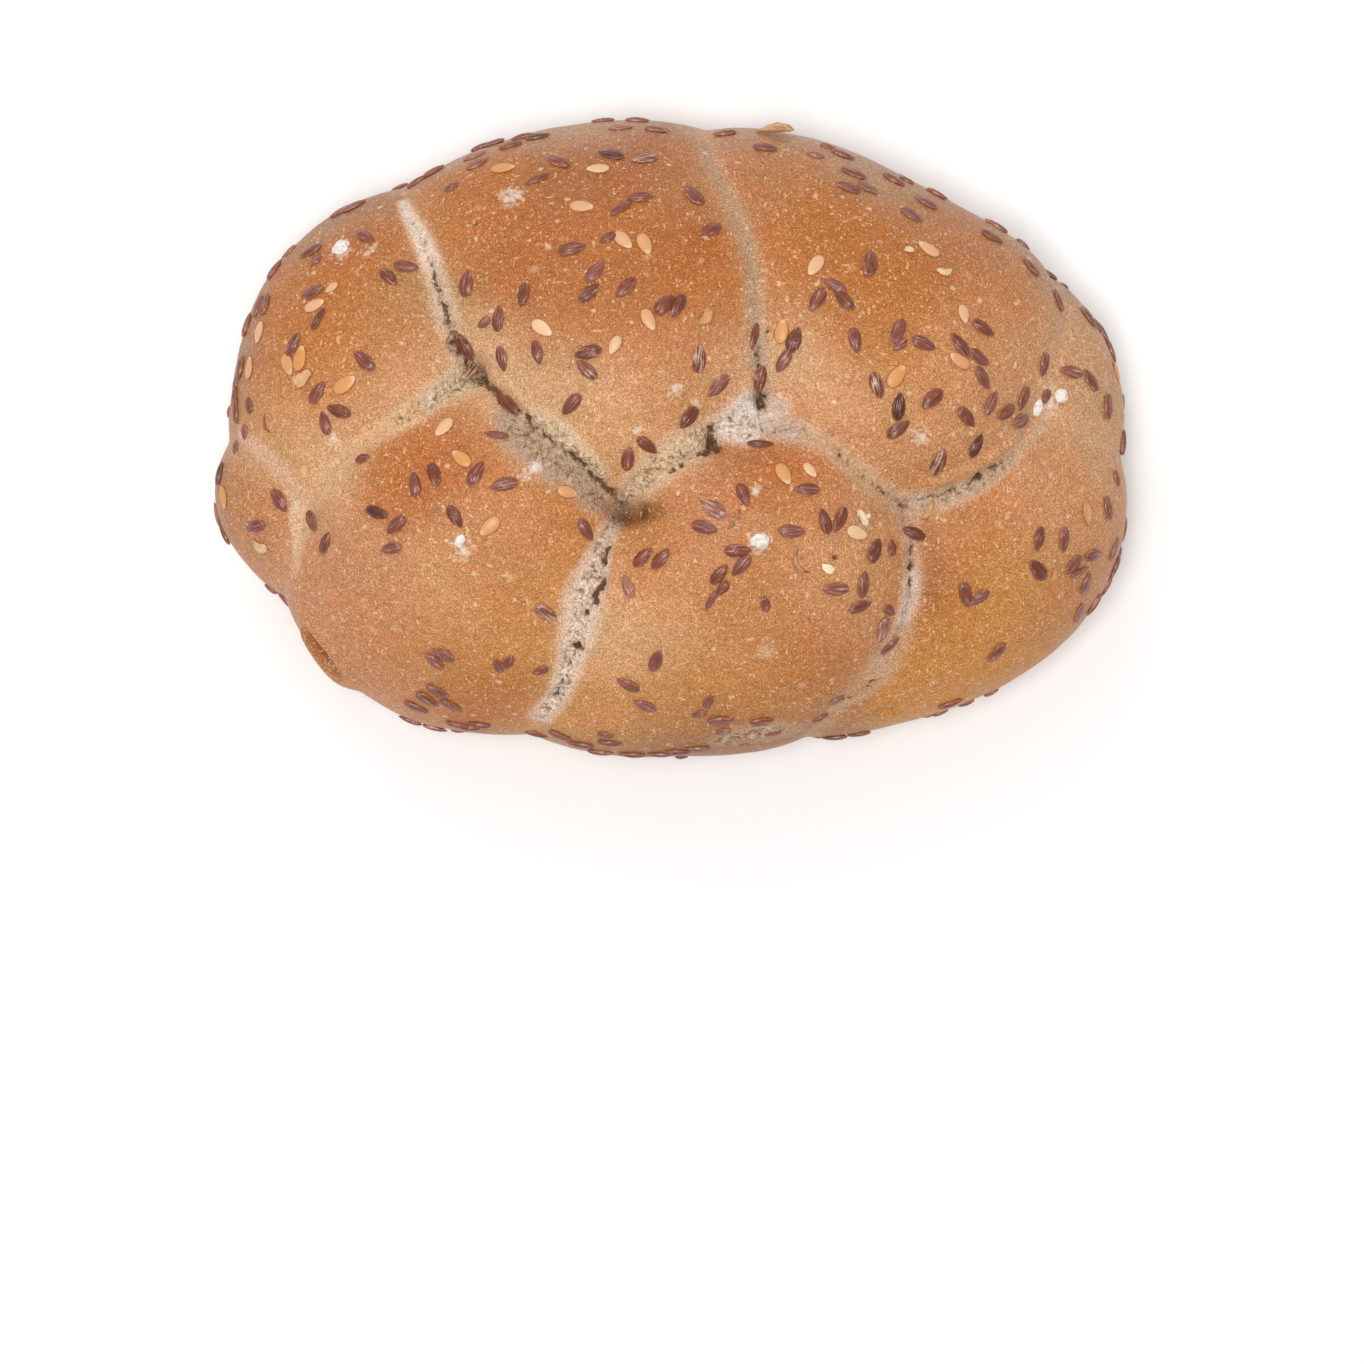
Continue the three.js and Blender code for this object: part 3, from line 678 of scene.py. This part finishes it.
dryness = add(crust_look, "MapRange", {"Value": torn_cover, "To Min": 0.48, "To Max": 0.95}).outputs["Result"]
roughness = add(crust_look, "Math", {0: wet_out, 1: -0.25, 2: dryness}, operation="MULTIPLY_ADD").outputs[0]
skin_bump = add(
    crust_look, "Bump", {"Height": patches, "Distance": 0.00025, "Strength": 0.7}
).outputs["Normal"]
crumb_height = add(crust_look, "Math", {0: pores, 1: granules}, operation="SUBTRACT").outputs[0]
torn_height = add(crust_look, "Math", {0: crumb_height, 1: torn_cover}, operation="MULTIPLY").outputs[0]
crumb_bump = add(
    crust_look, "Bump", {"Height": torn_height, "Distance": 0.0006, "Strength": 0.8, "Normal": skin_bump}
).outputs["Normal"]
crust_shader = add(
    crust_look, "BsdfPrincipled",
    {
        "Base Color": with_crack_shade, "Roughness": roughness, "Normal": crumb_bump, "IOR": 1.45,
        "Specular IOR Level": 0.3,
    },
)
add(crust_look, "OutputMaterial", {"Surface": crust_shader.outputs[0]})

crust_mesh.polygons.foreach_set("use_smooth", [True] * len(crust_mesh.polygons))
crust_mesh.materials.append(crust_look)
crust_mesh.update()
crust_piece = bpy.data.objects.new("baked_crust", crust_mesh)
bpy.context.scene.collection.objects.link(crust_piece)
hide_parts("baked_roll")
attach(crust_piece, "root")

# ---- The brown linseeds ----
# Whole linseeds scattered on the damp dough before it was baked. Each is a flat drop, round at one end
# and pointed at the other, with a thin rim, and sits a little way into the crust.


def crust_frame(x, y, turn, z=None):
    """A frame on the crust: z stands up from it, and x is turned from the roll's length by degrees."""
    near = plain_tree.find_n(top_point(x, y) if z is None else plain_point(x, y, z), 6)
    rows = [i for _, i, _ in near]
    weights = np.array([1 / (distance + 0.05) for _, _, distance in near])
    centre = Vector((crust[rows] * weights[:, None]).sum(0) / weights.sum())
    up = Vector(crust_up[rows].sum(0)).normalized()
    ahead = Vector((math.cos(math.radians(turn)), math.sin(math.radians(turn)), 0))
    across = up.cross(ahead).normalized()
    ahead = across.cross(up)
    return Matrix((
        (ahead.x, across.x, up.x, centre.x),
        (ahead.y, across.y, up.y, centre.y),
        (ahead.z, across.z, up.z, centre.z),
        (0, 0, 0, 1),
    ))


# For each kind of seed: its length, width, thickness, how far it is sunk, and its tone from dark to pale.
SEED_KINDS = {
    "whole": (4.6, 2.25, 1.0, 0.2, 0.45),
    "dark": (4.7, 2.25, 1.0, 0.25, 0.15),
    "pale": (4.5, 2.25, 0.9, 0.25, 0.72),
    "thin": (4.6, 1.4, 1.1, 0.3, 0.4),
    "small": (3.1, 1.8, 0.9, 0.3, 0.5),
    "fat": (4.9, 2.7, 1.1, 0.2, 0.4),
    "worn": (4.9, 2.5, 0.9, 0.2, 1.5),
    "sunk in a crack": (5.8, 2.4, 1.4, -0.5, 0.1),
}
BROWN_LINSEEDS = {
    "whole": [
        (-69.3, 29.3, 55), (-53.1, 34.2, -40), (-48.6, 26.7, -45), (-46, 28.7, -12), (-61.5, 24, 10),
        (-70.4, 22.6, 100), (-74.8, 19.8, 80), (-64.8, 14.9, 60), (-52.7, 12, -42), (-75.6, 11.9, 85),
        (-60.6, 6.6, 50), (-57.2, 3.4, -15), (-55.6, 40.7, 30), (-73, -16.2, 20), (-70, -30, -45),
        (-42, 47.6, 35), (-31.3, 51.5, 5), (-19.3, 46, -45), (-16.8, 29.8, 12), (-25, 22.4, 83),
        (-2.5, 53, -28), (-5.4, 38.9, 8), (6.6, 34, 35), (-12.8, 25.9, 52), (-13.7, 22.3, 42),
        (-7.6, 23.1, 45), (1.1, 20.3, 65), (-29.6, 18.9, 80), (-29.3, 12.4, -80), (-22.6, 12.8, -75),
        (-14.1, 12.4, 14), (-14.2, 9.5, -42), (-17, 4, 50), (8, 7.4, 50), (-4.3, -2.9, -42), (-7.5, -5.2, 80),
        (-37, 16, -60), (9.3, 53.7, 12), (16.2, 49.9, -15), (30, 50, -20), (31.5, 45.8, -22), (30.4, 42.6, -20),
        (34, 42.9, -40), (39.3, 46.3, -45), (47.8, 45.6, -40), (44.7, 41.8, -30), (41.5, 38.2, -40),
        (27.5, 24.2, -30), (29.1, 21.7, -47), (24.6, 21.7, 60), (56.7, 35.8, -12), (63.3, 29.9, -55),
        (52.9, 17.4, -25), (48.7, 14.3, -52), (51.9, 12.3, -28), (52.7, 8.8, -55), (19.2, 11.6, 58),
        (30.9, 14.8, -80), (38.1, 16.3, 65), (42.4, 14.3, -20), (38.6, 0, 35),
        (54.3, 4.7, 58), (57.5, 3.2, 18), (62, 6, 50), (61.3, 1.9, 12), (50, 2.2, -45),
        (69.6, 32, -32), (69, 24.7, 65), (74.5, 21.8, -68), (66, 12.5, 82), (71, 11.3, 0), (74, 9.8, -46),
        (76.8, 5.1, 90), (-64, -16.1, -40), (-60, -19.3, 45), (-46.3, -16, 40), (-43.2, -9.4, -80),
        (-40, -7.8, -70), (-33, -7.6, 60), (-28.5, -9.5, 12), (-36.4, -14.7, -60), (-15, -17.8, -54),
        (-39, -37.8, -29), (-40.6, -38.8, -52), (-40.4, -44, -50), (-44.1, -46.4, -38), (-38.1, -46.6, -52),
        (5.6, -16.8, -15), (12, -11.4, -70), (11, -20.3, 0), (11.6, -22.7, 50), (8, -24.2, 52),
        (-4.8, -22.2, 42), (-1.7, -22.2, 45), (-2.7, -38.9, 73), (-7.4, -43.3, -35), (-4.7, -46.7, -38),
        (8.5, -49.2, 0), (15.5, -49.4, 10), (-19.6, -53, -35), (22.7, -10.4, 0), (20.1, -17.2, -3),
        (25.6, -15.7, -70), (28.3, -15.4, 62), (27.5, -26.8, -5), (32, -30, 15), (74.5, -12.4, -60),
        (62.5, -18.2, 82), (66.7, -18, 95), (71.4, -20.1, -5), (68, -22, 37), (70, -24.6, 88), (75.3, -21.5, 70),
        (50.5, -28, -75), (52.6, -28.3, 35), (55.4, -37, 65),
    ],
    "dark": [
        (-62.5, 31.8, 0), (-77, 7, 95), (-79, -6.3, 75), (-28, 50.2, 8), (-23.2, 51.7, 8), (-10.3, 47.1, -32),
        (15.1, 8.6, 82), (-49.6, -13.9, -15), (32.6, -26.3, 90), (52.3, -2.6, 68),
        (42.5, -18.5, -20), (29, -53.5, 10), (33.5, -53, 8), (38.3, 3.8, 85), (-36, 14.8, -60),
    ],
    "pale": [
        (-59.7, 1.3, -75), (-58.2, 39.7, 20), (-79, -13, -65), (-34.4, 49, 20), (-33.6, 46.8, 45), (-8.8, 53, 25),
        (-47.2, -19.8, 15), (-7.4, -27.1, -70), (75.2, -18.8, 50), (68.8, -29.3, -60),
        (-12, 55, 10),
    ],
    "thin": [
        (-72, 22.5, 90), (-60.3, 19.3, 60), (-76.6, 4.5, 105), (-78.6, -16.5, -80), (-45.3, 46.3, 12),
        (-33.2, 51.5, 15), (-26, 52, -5), (-22.9, 42.8, 32), (-6, 55, -5), (-8.6, 36.9, 42), (14, 16, 75),
        (15.2, -2.8, -3), (58.5, 39.5, -40), (77.5, 19, -60), (78.5, 15.8, -72), (79.8, -0.8, 85),
        (-30, -1, -12), (-46, -48.5, -22), (-41.5, -49.8, -15), (-37.3, -49.8, -15), (-35.5, -50.5, -15),
        (-33.7, -50.3, -15), (-15.8, -54, 0), (-12.5, -55, 0), (-7, -55.2, 0), (-2.2, -55.2, 0), (1, -54.8, 0),
        (4.5, -54.2, 0), (-10.8, -53.3, -5), (6.6, -28.5, 65), (38, -37.8, 55), (74.6, -24.5, 55),
        (69, -23, 10), (71.4, -27.5, 65), (48.3, -45.6, 8), (-16.5, -54, -15), (-24, -53.5, -25),
    ],
    "small": [
        (-66.8, 32.5, 45), (-61.5, 30, 60), (-77, 9.5, 90), (-73.6, 5, -60), (-75, 0.5, 60), (-53, -5, 5),
        (-77.6, -1.8, 30), (-72.5, -27.5, 30), (-38, 42.8, 20), (-10.6, 31.6, 30), (-32.3, 18.6, 30),
        (25, 49, -8), (27.5, 51.5, -20), (42, 47.3, -8), (48.8, 46.5, -30), (38.4, 14.1, 40), (63.5, 36, -40),
        (75.8, 20.2, -45), (67, 6.7, 65), (-29.8, -40.2, -80), (-28, -39.8, 60),
        (-22.6, -41.8, 20), (8.6, -26.4, 55), (15.7, -29.1, -80), (6.3, -45.8, 75), (4.7, -48, 30),
        (8.8, -51.1, 35), (-11.4, -52.1, 5), (38, -20.7, 85), (37.3, -31.2, -35), (28.7, -47.3, 35),
        (26, -50.5, 30), (77.2, -7.5, -48), (55.3, -42.9, 40), (52, -46, 20), (47.4, -47.8, 18), (17.5, -52, 0),
    ],
    "worn": [(-4.8, 46.5, 20), (46.2, -5.6, 75), (36.3, -34.5, 95), (4.6, 11.7, 88), (7, -13.6, -32), (34.6, 7.3, -72), (-21.5, -31.7, -40), (-35.8, 11.6, 55)],
    "sunk in a crack": [(-28.6, 4.6, -38)],
    "fat": [
        (-69.5, -12, -55), (-35, 25.2, 85), (3.7, 40, -60), (-1.2, 20.4, 45), (33.5, 28, 80),
        (20.9, 15.1, 70), (44, 5, 40), (-42.1, -45.2, -58), (34.6, -21, 62), (62, -23.2, -45),
        (2.8, 1.8, 48),
    ],
}
SEED_SIDES = 10
SEED_RINGS = 6


def add_seed(seeds, matrix, length, width, thickness, sunk, tint, layers):
    """Makes a ball into a seed's flat drop and remembers where on the seed each of its points is."""
    made = bmesh.ops.create_uvsphere(seeds, u_segments=SEED_SIDES, v_segments=SEED_RINGS, radius=1)["verts"]
    for corner in made:
        along, across, high = corner.co.z, corner.co.y, corner.co.x
        beyond = max(along, 0)
        corner[layers[0]] = (along * 0.5 + 0.5, across * 0.5 + 0.5, tint)
        corner[layers[1]] = 1 - abs(high)
        drop = 1 - 0.12 * along - 0.3 * beyond * beyond
        corner.co = matrix @ Vector((
            along * length / 2, across * drop * width / 2, high * drop * thickness / 2 + thickness / 2 - sunk,
        ))


def seed_layers(seeds):
    return seeds.verts.layers.float_vector.new("on_seed"), seeds.verts.layers.float.new("rim")


chance = random.Random(7)
seeds = bmesh.new()
layers = seed_layers(seeds)
for kind, places in BROWN_LINSEEDS.items():
    length, width, thickness, sunk, tint = SEED_KINDS[kind]
    for x, y, turn in places:
        grown = chance.uniform(0.93, 1.07)
        pointed = turn + chance.choice([0, 180])
        add_seed(
            seeds, crust_frame(x, y, pointed), length * grown, width * grown, thickness, sunk,
            tint + chance.uniform(-0.25, 0.25), layers,
        )
# Round the sides below the widest outline the seeds lie anyhow.
on_sides = []
while len(on_sides) < 64:
    around, z = chance.uniform(0, 2 * math.pi), chance.uniform(5.5, 18)
    spot = plain_point(math.cos(around) * LENGTH / 2, math.sin(around) * WIDTH / 2, z)
    if all(np.linalg.norm(spot - other) > 5 for other in on_sides):
        on_sides.append(spot)
        place = crust_frame(spot[0], spot[1], 0, spot[2]) @ Matrix.Rotation(chance.uniform(0, 6.28), 4, "Z")
        length, width, thickness, sunk, tint = SEED_KINDS[chance.choice(["whole", "whole", "dark", "pale"])]
        add_seed(seeds, place, length, width, thickness, sunk, tint + chance.uniform(-0.15, 0.15), layers)
bmesh.ops.scale(seeds, vec=(0.001, 0.001, 0.001), verts=seeds.verts[:])
bmesh.ops.recalc_face_normals(seeds, faces=seeds.faces[:])
seed_mesh = bpy.data.meshes.new("brown_linseeds")
seeds.to_mesh(seed_mesh)
seeds.free()
seed_mesh.polygons.foreach_set("use_smooth", [True] * len(seed_mesh.polygons))

# Linseed husk, dry and smooth: purple-brown, a little shiny, with faint lengthwise lines and a paler rim,
# partly its own colour and partly a painted highlight.
seed_look = new_material("linseed_husk")
on_seed = add(seed_look, "Attribute", {}, attribute_name="on_seed").outputs["Vector"]
parts = add(seed_look, "SeparateXYZ", {0: on_seed})
seed_tone = add(seed_look, "Math", {0: parts.outputs["Z"], 1: 1}, operation="MODULO").outputs[0]
husk = add(seed_look, "ValToRGB", {"Fac": seed_tone})
husk.color_ramp.elements[0].color = (*linear("#5a271a"), 1)
husk.color_ramp.elements[1].color = (*linear("#a3705a"), 1)
husk.color_ramp.elements.new(0.35).color = (*linear("#7c3f29"), 1)
husk.color_ramp.elements.new(0.6).color = (*linear("#80453a"), 1)
lines = add(seed_look, "Mapping", {"Vector": on_seed, "Scale": (2, 8, 30)}).outputs["Vector"]
line_noise = add(seed_look, "TexNoise", {"Vector": lines, "Scale": 1, "Detail": 2}).outputs["Fac"]
line_shade = add(
    seed_look, "MapRange", {"Value": line_noise, "From Min": 0.3, "From Max": 0.7, "To Min": 0.62, "To Max": 1.5}
).outputs["Result"]
husk_tone = add(
    seed_look, "VectorMath", {0: husk.outputs["Color"], "Scale": line_shade}, operation="SCALE"
).outputs[0]
# Painted highlight: the rim is painted paler, partly as the husk's own colour and partly as a highlight.
rim = add(seed_look, "Attribute", {}, attribute_name="rim").outputs["Fac"]
rim_tint_and_light = add(
    seed_look, "MapRange", {"Value": rim, "From Min": 0.45, "From Max": 0.8, "To Min": 0, "To Max": 0.35}
).outputs["Result"]
with_rim_tint_and_light = add(
    seed_look, "Mix", {0: rim_tint_and_light, 6: husk_tone, 7: (*linear("#b98a74"), 1)}, data_type="RGBA"
).outputs[2]
worn_seed = add(
    seed_look, "MapRange", {"Value": parts.outputs["Z"], "From Min": 1.2, "From Max": 1.25, "To Min": 0, "To Max": 0.14}
).outputs["Result"]
bare = add(seed_look, "Math", {0: line_noise, 1: worn_seed}, operation="ADD").outputs[0]
bare_cover = add(
    seed_look, "MapRange", {"Value": bare, "From Min": 0.62, "From Max": 0.72, "To Min": 0, "To Max": 0.8}
).outputs["Result"]
scuffed = add(
    seed_look, "Mix", {0: bare_cover, 6: with_rim_tint_and_light, 7: (*linear("#c49c84"), 1)}, data_type="RGBA"
).outputs[2]
seed_bump = add(seed_look, "Bump", {"Height": line_noise, "Distance": 0.0003, "Strength": 0.8}).outputs["Normal"]
seed_shader = add(
    seed_look, "BsdfPrincipled", {"Base Color": scuffed, "Roughness": 0.24, "IOR": 1.5, "Normal": seed_bump}
)
add(seed_look, "OutputMaterial", {"Surface": seed_shader.outputs[0]})
seed_mesh.materials.append(seed_look)
seed_piece = bpy.data.objects.new("brown_linseeds", seed_mesh)
bpy.context.scene.collection.objects.link(seed_piece)
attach(seed_piece, "root")

# ---- The golden linseeds ----
# The pale kind of linseed, from the same mix. They are as large as the brown ones and smoother.

GOLDEN_LINSEEDS = [
    (-61.2, 21.8, 10, 4.2), (-58.3, 24.8, 30, 2.8), (-71.6, 17.8, 100, 4.3), (-65.8, 11.7, 120, 4.2),
    (-63.6, 12.6, 80, 4.8), (-73.5, 11.6, 105, 4.3), (-56, 7.9, 32, 4.8), (-77.8, -10.5, -70, 4.3),
    (-28.9, 45.4, -12, 4.6), (-15.2, 37.5, -12, 4.4), (-12.6, 44.5, -5, 4.2), (-8.1, 31.3, -50, 4.4),
    (-4.5, 30.6, -70, 4.4), (-21.7, 16.8, -33, 4.4), (-9.6, 13.8, 62, 3.6), (-3.9, 17.8, -65, 4.2),
    (-39.2, 0.4, 52, 4.2), (-35.7, -5, -40, 4.3), (-30.6, -16.6, 42, 4.5), (-18, -11, -12, 3.8),
    (18.8, 16.7, 82, 4.4), (24.5, 27.8, 60, 4.4), (44.1, 31.5, -38, 4.4), (49.5, 19.7, 95, 3.6),
    (48.6, 11.6, -28, 4.3), (37.9, 8.8, 52, 4.7), (19.1, -7.8, -65, 4.4), (23.5, -7.2, -52, 3.2),
    (31.5, -17.7, -12, 4.4), (78.5, 11.5, 95, 4.3),
]
golden = bmesh.new()
layers = seed_layers(golden)
for x, y, turn, length in GOLDEN_LINSEEDS:
    add_seed(
        golden, crust_frame(x, y, turn + chance.choice([0, 180])), length, length * 0.58, 0.65, 0.2,
        chance.random(), layers,
    )
bmesh.ops.scale(golden, vec=(0.001, 0.001, 0.001), verts=golden.verts[:])
bmesh.ops.recalc_face_normals(golden, faces=golden.faces[:])
golden_mesh = bpy.data.meshes.new("golden_linseeds")
golden.to_mesh(golden_mesh)
golden.free()
golden_mesh.polygons.foreach_set("use_smooth", [True] * len(golden_mesh.polygons))
golden_look = new_material("golden_linseed_husk")
on_seed = add(golden_look, "Attribute", {}, attribute_name="on_seed").outputs["Vector"]
tint = add(golden_look, "SeparateXYZ", {0: on_seed}).outputs["Z"]
husk = add(golden_look, "ValToRGB", {"Fac": tint})
husk.color_ramp.elements[0].color = (*linear("#d28f4a"), 1)
husk.color_ramp.elements[1].color = (*linear("#e6bd92"), 1)
husk.color_ramp.elements.new(0.5).color = (*linear("#d9a377"), 1)
along = add(golden_look, "SeparateXYZ", {0: on_seed}).outputs["X"]
tip = add(
    golden_look, "MapRange", {"Value": along, "From Min": 0.75, "From Max": 1, "To Min": 0, "To Max": 0.7}
).outputs["Result"]
tipped = add(
    golden_look, "Mix", {0: tip, 6: husk.outputs["Color"], 7: (*linear("#f0d3ac"), 1)}, data_type="RGBA"
).outputs[2]
# Painted shade: the golden seeds are painted darker brown towards their rim.
rim = add(golden_look, "Attribute", {}, attribute_name="rim").outputs["Fac"]
rim_tint_and_light = add(
    golden_look, "MapRange", {"Value": rim, "From Min": 0.55, "From Max": 0.85, "To Min": 0, "To Max": 0.6}
).outputs["Result"]
with_rim_tint_and_light = add(
    golden_look, "Mix", {0: rim_tint_and_light, 6: tipped, 7: (*linear("#a5662f"), 1)}, data_type="RGBA"
).outputs[2]
golden_shader = add(
    golden_look, "BsdfPrincipled", {"Base Color": with_rim_tint_and_light, "Roughness": 0.4, "IOR": 1.47}
)
add(golden_look, "OutputMaterial", {"Surface": golden_shader.outputs[0]})
golden_mesh.materials.append(golden_look)
golden_piece = bpy.data.objects.new("golden_linseeds", golden_mesh)
bpy.context.scene.collection.objects.link(golden_piece)
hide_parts(*[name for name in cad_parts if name.startswith("golden_linseed")])
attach(golden_piece, "root")

# ---- The lumps of flour ----
# Flour that clung together on the damp dough and baked dry: chalky, matt and crumbly.

FLOUR_LUMPS = [
    (-57.2, 32.2, 20, 3.4, 3.0, 1.3), (-35.6, -18.7, 60, 2.4, 1.6, 0.8), (14.8, -18.9, 0, 3.2, 2.8, 1),
    (69.4, 7, 30, 2.7, 2.4, 1.1), (65.9, 4.6, 65, 3.0, 1.7, 0.9),
]
lumps_made = bmesh.new()
for x, y, turn, length, width, height in FLOUR_LUMPS:
    lump = bmesh.ops.create_icosphere(lumps_made, subdivisions=3, radius=1)["verts"]
    frame_here = crust_frame(x, y, turn)
    for corner in lump:
        rough = 1 + 0.3 * noise.noise(corner.co * 1.6 + Vector((x, y, 0)))
        rough += 0.12 * noise.noise(corner.co * 5 + Vector((x, y, 0)))
        co = corner.co * rough
        corner.co = frame_here @ Vector((co.x * length / 2, co.y * width / 2, co.z * height / 2 + height * 0.2))
bmesh.ops.scale(lumps_made, vec=(0.001, 0.001, 0.001), verts=lumps_made.verts[:])
lump_mesh = bpy.data.meshes.new("flour_lumps")
lumps_made.to_mesh(lump_mesh)
lumps_made.free()
lump_mesh.polygons.foreach_set("use_smooth", [True] * len(lump_mesh.polygons))
flour_look = new_material("dried_flour")
place = add(flour_look, "TexCoord", {}).outputs["Object"]
clots = add(flour_look, "TexNoise", {"Vector": place, "Scale": 1400, "Detail": 4}).outputs["Fac"]
flour_ramp = add(flour_look, "ValToRGB", {"Fac": clots})
flour_ramp.color_ramp.elements[0].position = 0.3
flour_ramp.color_ramp.elements[0].color = (*linear("#cdb8a6"), 1)
flour_ramp.color_ramp.elements[1].position = 0.55
flour_ramp.color_ramp.elements[1].color = (*linear("#f3ebe2"), 1)
clot_bump = add(flour_look, "Bump", {"Height": clots, "Distance": 0.0005, "Strength": 0.8}).outputs["Normal"]
flour_shader = add(
    flour_look, "BsdfPrincipled",
    {"Base Color": flour_ramp.outputs["Color"], "Roughness": 0.95, "Normal": clot_bump},
)
add(flour_look, "OutputMaterial", {"Surface": flour_shader.outputs[0]})
lump_mesh.materials.append(flour_look)
lump_piece = bpy.data.objects.new("flour_lumps", lump_mesh)
bpy.context.scene.collection.objects.link(lump_piece)
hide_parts(*[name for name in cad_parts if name.startswith("flour_lump")])
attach(lump_piece, "root")

# ---- The bran flakes ----
# Scraps of husk and bran that stuck to the dough: thin curled shells, some shed by linseeds and some by
# wheat. One large flake stands up past the back edge.

# Each is x, y, turn, length, width, how far it is bent to one side, how far it lifts, and its tone.
FLAKES = [
    (32.6, -15.4, -50, 3.4, 1.7, 0.1, 0.2, 0.9), (26.3, -23.4, -20, 2.6, 1.5, 0.1, 0.2, 1),
    (40.6, 31, 10, 2, 1.2, 0, 0.1, 0.8), (21.5, -22.5, -60, 5, 0.9, 0.35, 0.2, 0.35),
    (71, -13.4, -75, 4.5, 1.9, 0.1, 0.2, 0.5), (45.2, -14.6, 60, 3.8, 1.2, 0.1, 0.2, 0.4),
    (64.6, -24, 80, 3, 1.2, 0.1, 0.1, 0.45), (-72.5, -19.6, 0, 3.4, 2.1, 0.1, 0.1, 0.68),
    (-70.3, 1.5, -60, 4, 0.5, 0.3, 0.1, 0.1), (-63.3, 9, 25, 4, 2.6, 0.1, 0.1, 0.62),
    (5.8, 18.8, 60, 3.4, 1.9, 0.1, 0.1, 0.45), (10.5, -15.5, 60, 4, 0.6, 0.1, 0.3, 0.2),
    (46.6, 27.3, 10, 3, 1.4, 0.2, 0.2, 0.75), (18, 53.2, -20, 6.5, 3.4, 0.1, 0.9, 0.6),
    (-21.2, -31.4, -40, 1.2, 0.9, 0, 0.2, 1), (33.5, -15.2, 15, 1.6, 0.9, 0, 0.3, 0.95),
]
flakes = bmesh.new()
flake_tone = flakes.verts.layers.float.new("tone")
for x, y, turn, length, width, bent_by, lift, tone in FLAKES:
    flake = bmesh.ops.create_icosphere(flakes, subdivisions=2, radius=1)["verts"]
    flake_frame = crust_frame(x, y, turn)
    for corner in flake:
        corner[flake_tone] = tone
        torn_edge = 1 + 0.35 * noise.noise(corner.co * 1.7 + Vector((x, y, 0)))
        across = corner.co.y * torn_edge * width / 2 + bent_by * length * (corner.co.x**2 - 0.4)
        curl = 0.12 * (corner.co.y * width) ** 2 + lift * (0.5 + 0.5 * corner.co.x)
        corner.co = flake_frame @ Vector((corner.co.x * torn_edge * length / 2, across, corner.co.z * 0.16 + 0.12 + curl))
bmesh.ops.scale(flakes, vec=(0.001, 0.001, 0.001), verts=flakes.verts[:])
flake_mesh = bpy.data.meshes.new("bran_flakes")
flakes.to_mesh(flake_mesh)
flakes.free()
flake_mesh.polygons.foreach_set("use_smooth", [True] * len(flake_mesh.polygons))
flake_look = new_material("dry_bran")
place = add(flake_look, "TexCoord", {}).outputs["Object"]
tone = add(flake_look, "Attribute", {}, attribute_name="tone").outputs["Fac"]
veins = add(flake_look, "TexNoise", {"Vector": place, "Scale": 1500, "Detail": 2}).outputs["Fac"]
mixed_tone = add(flake_look, "Math", {0: veins, 1: 0.5, 2: tone}, operation="MULTIPLY_ADD").outputs[0]
centred_tone = add(flake_look, "Math", {0: mixed_tone, 1: 0.25}, operation="SUBTRACT").outputs[0]
bran_ramp = add(flake_look, "ValToRGB", {"Fac": centred_tone})
bran_ramp.color_ramp.elements[0].color = (*linear("#83462a"), 1)
bran_ramp.color_ramp.elements[1].color = (*linear("#efd9b8"), 1)
bran_ramp.color_ramp.elements.new(0.5).color = (*linear("#cd9762"), 1)
flake_shader = add(
    flake_look, "BsdfPrincipled", {"Base Color": bran_ramp.outputs["Color"], "Roughness": 0.55, "IOR": 1.45}
)
add(flake_look, "OutputMaterial", {"Surface": flake_shader.outputs[0]})
flake_mesh.materials.append(flake_look)
flake_piece = bpy.data.objects.new("bran_flakes", flake_mesh)
bpy.context.scene.collection.objects.link(flake_piece)
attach(flake_piece, "root")

# ---- The floor, the light and the camera ----

floor_made = bmesh.new()
bmesh.ops.create_grid(floor_made, x_segments=1, y_segments=1, size=2)
floor_mesh = bpy.data.meshes.new("floor")
floor_made.to_mesh(floor_mesh)
floor_made.free()
floor_look = new_material("pale_floor")
floor_shader = add(floor_look, "BsdfPrincipled", {"Base Color": (0.97, 0.97, 0.97, 1), "Roughness": 0.9})
add(floor_look, "OutputMaterial", {"Surface": floor_shader.outputs[0]})
floor_mesh.materials.append(floor_look)
floor = bpy.data.objects.new("floor", floor_mesh)
bpy.context.scene.collection.objects.link(floor)

world = bpy.data.worlds.new("studio")
world.use_nodes = True
world.node_tree.nodes["Background"].inputs["Color"].default_value = (1, 1, 1, 1)
world.node_tree.nodes["Background"].inputs["Strength"].default_value = 0.5
bpy.context.scene.world = world


def soft_light(name, place, size, power):
    light = bpy.data.lights.new(name, "AREA")
    light.shape = "SQUARE"
    light.size = size
    light.energy = power
    lamp = bpy.data.objects.new(name, light)
    lamp.location = place
    lamp.rotation_euler = (-Vector(place)).to_track_quat("-Z", "Y").to_euler()
    bpy.context.scene.collection.objects.link(lamp)


soft_light("top_softbox", (-0.1, -0.12, 1.3), 0.4, 10)
soft_light("back_softbox", (-0.3, 0.9, 0.8), 0.6, 2.5)

camera = bpy.data.cameras.new("camera")
camera.lens = 120
camera.sensor_width = 36
eye = bpy.data.objects.new("camera", camera)
eye.location = (0.00176, -0.0428, 0.82)
bpy.context.scene.collection.objects.link(eye)
bpy.context.scene.camera = eye
bpy.context.scene.view_settings.view_transform = "Standard"
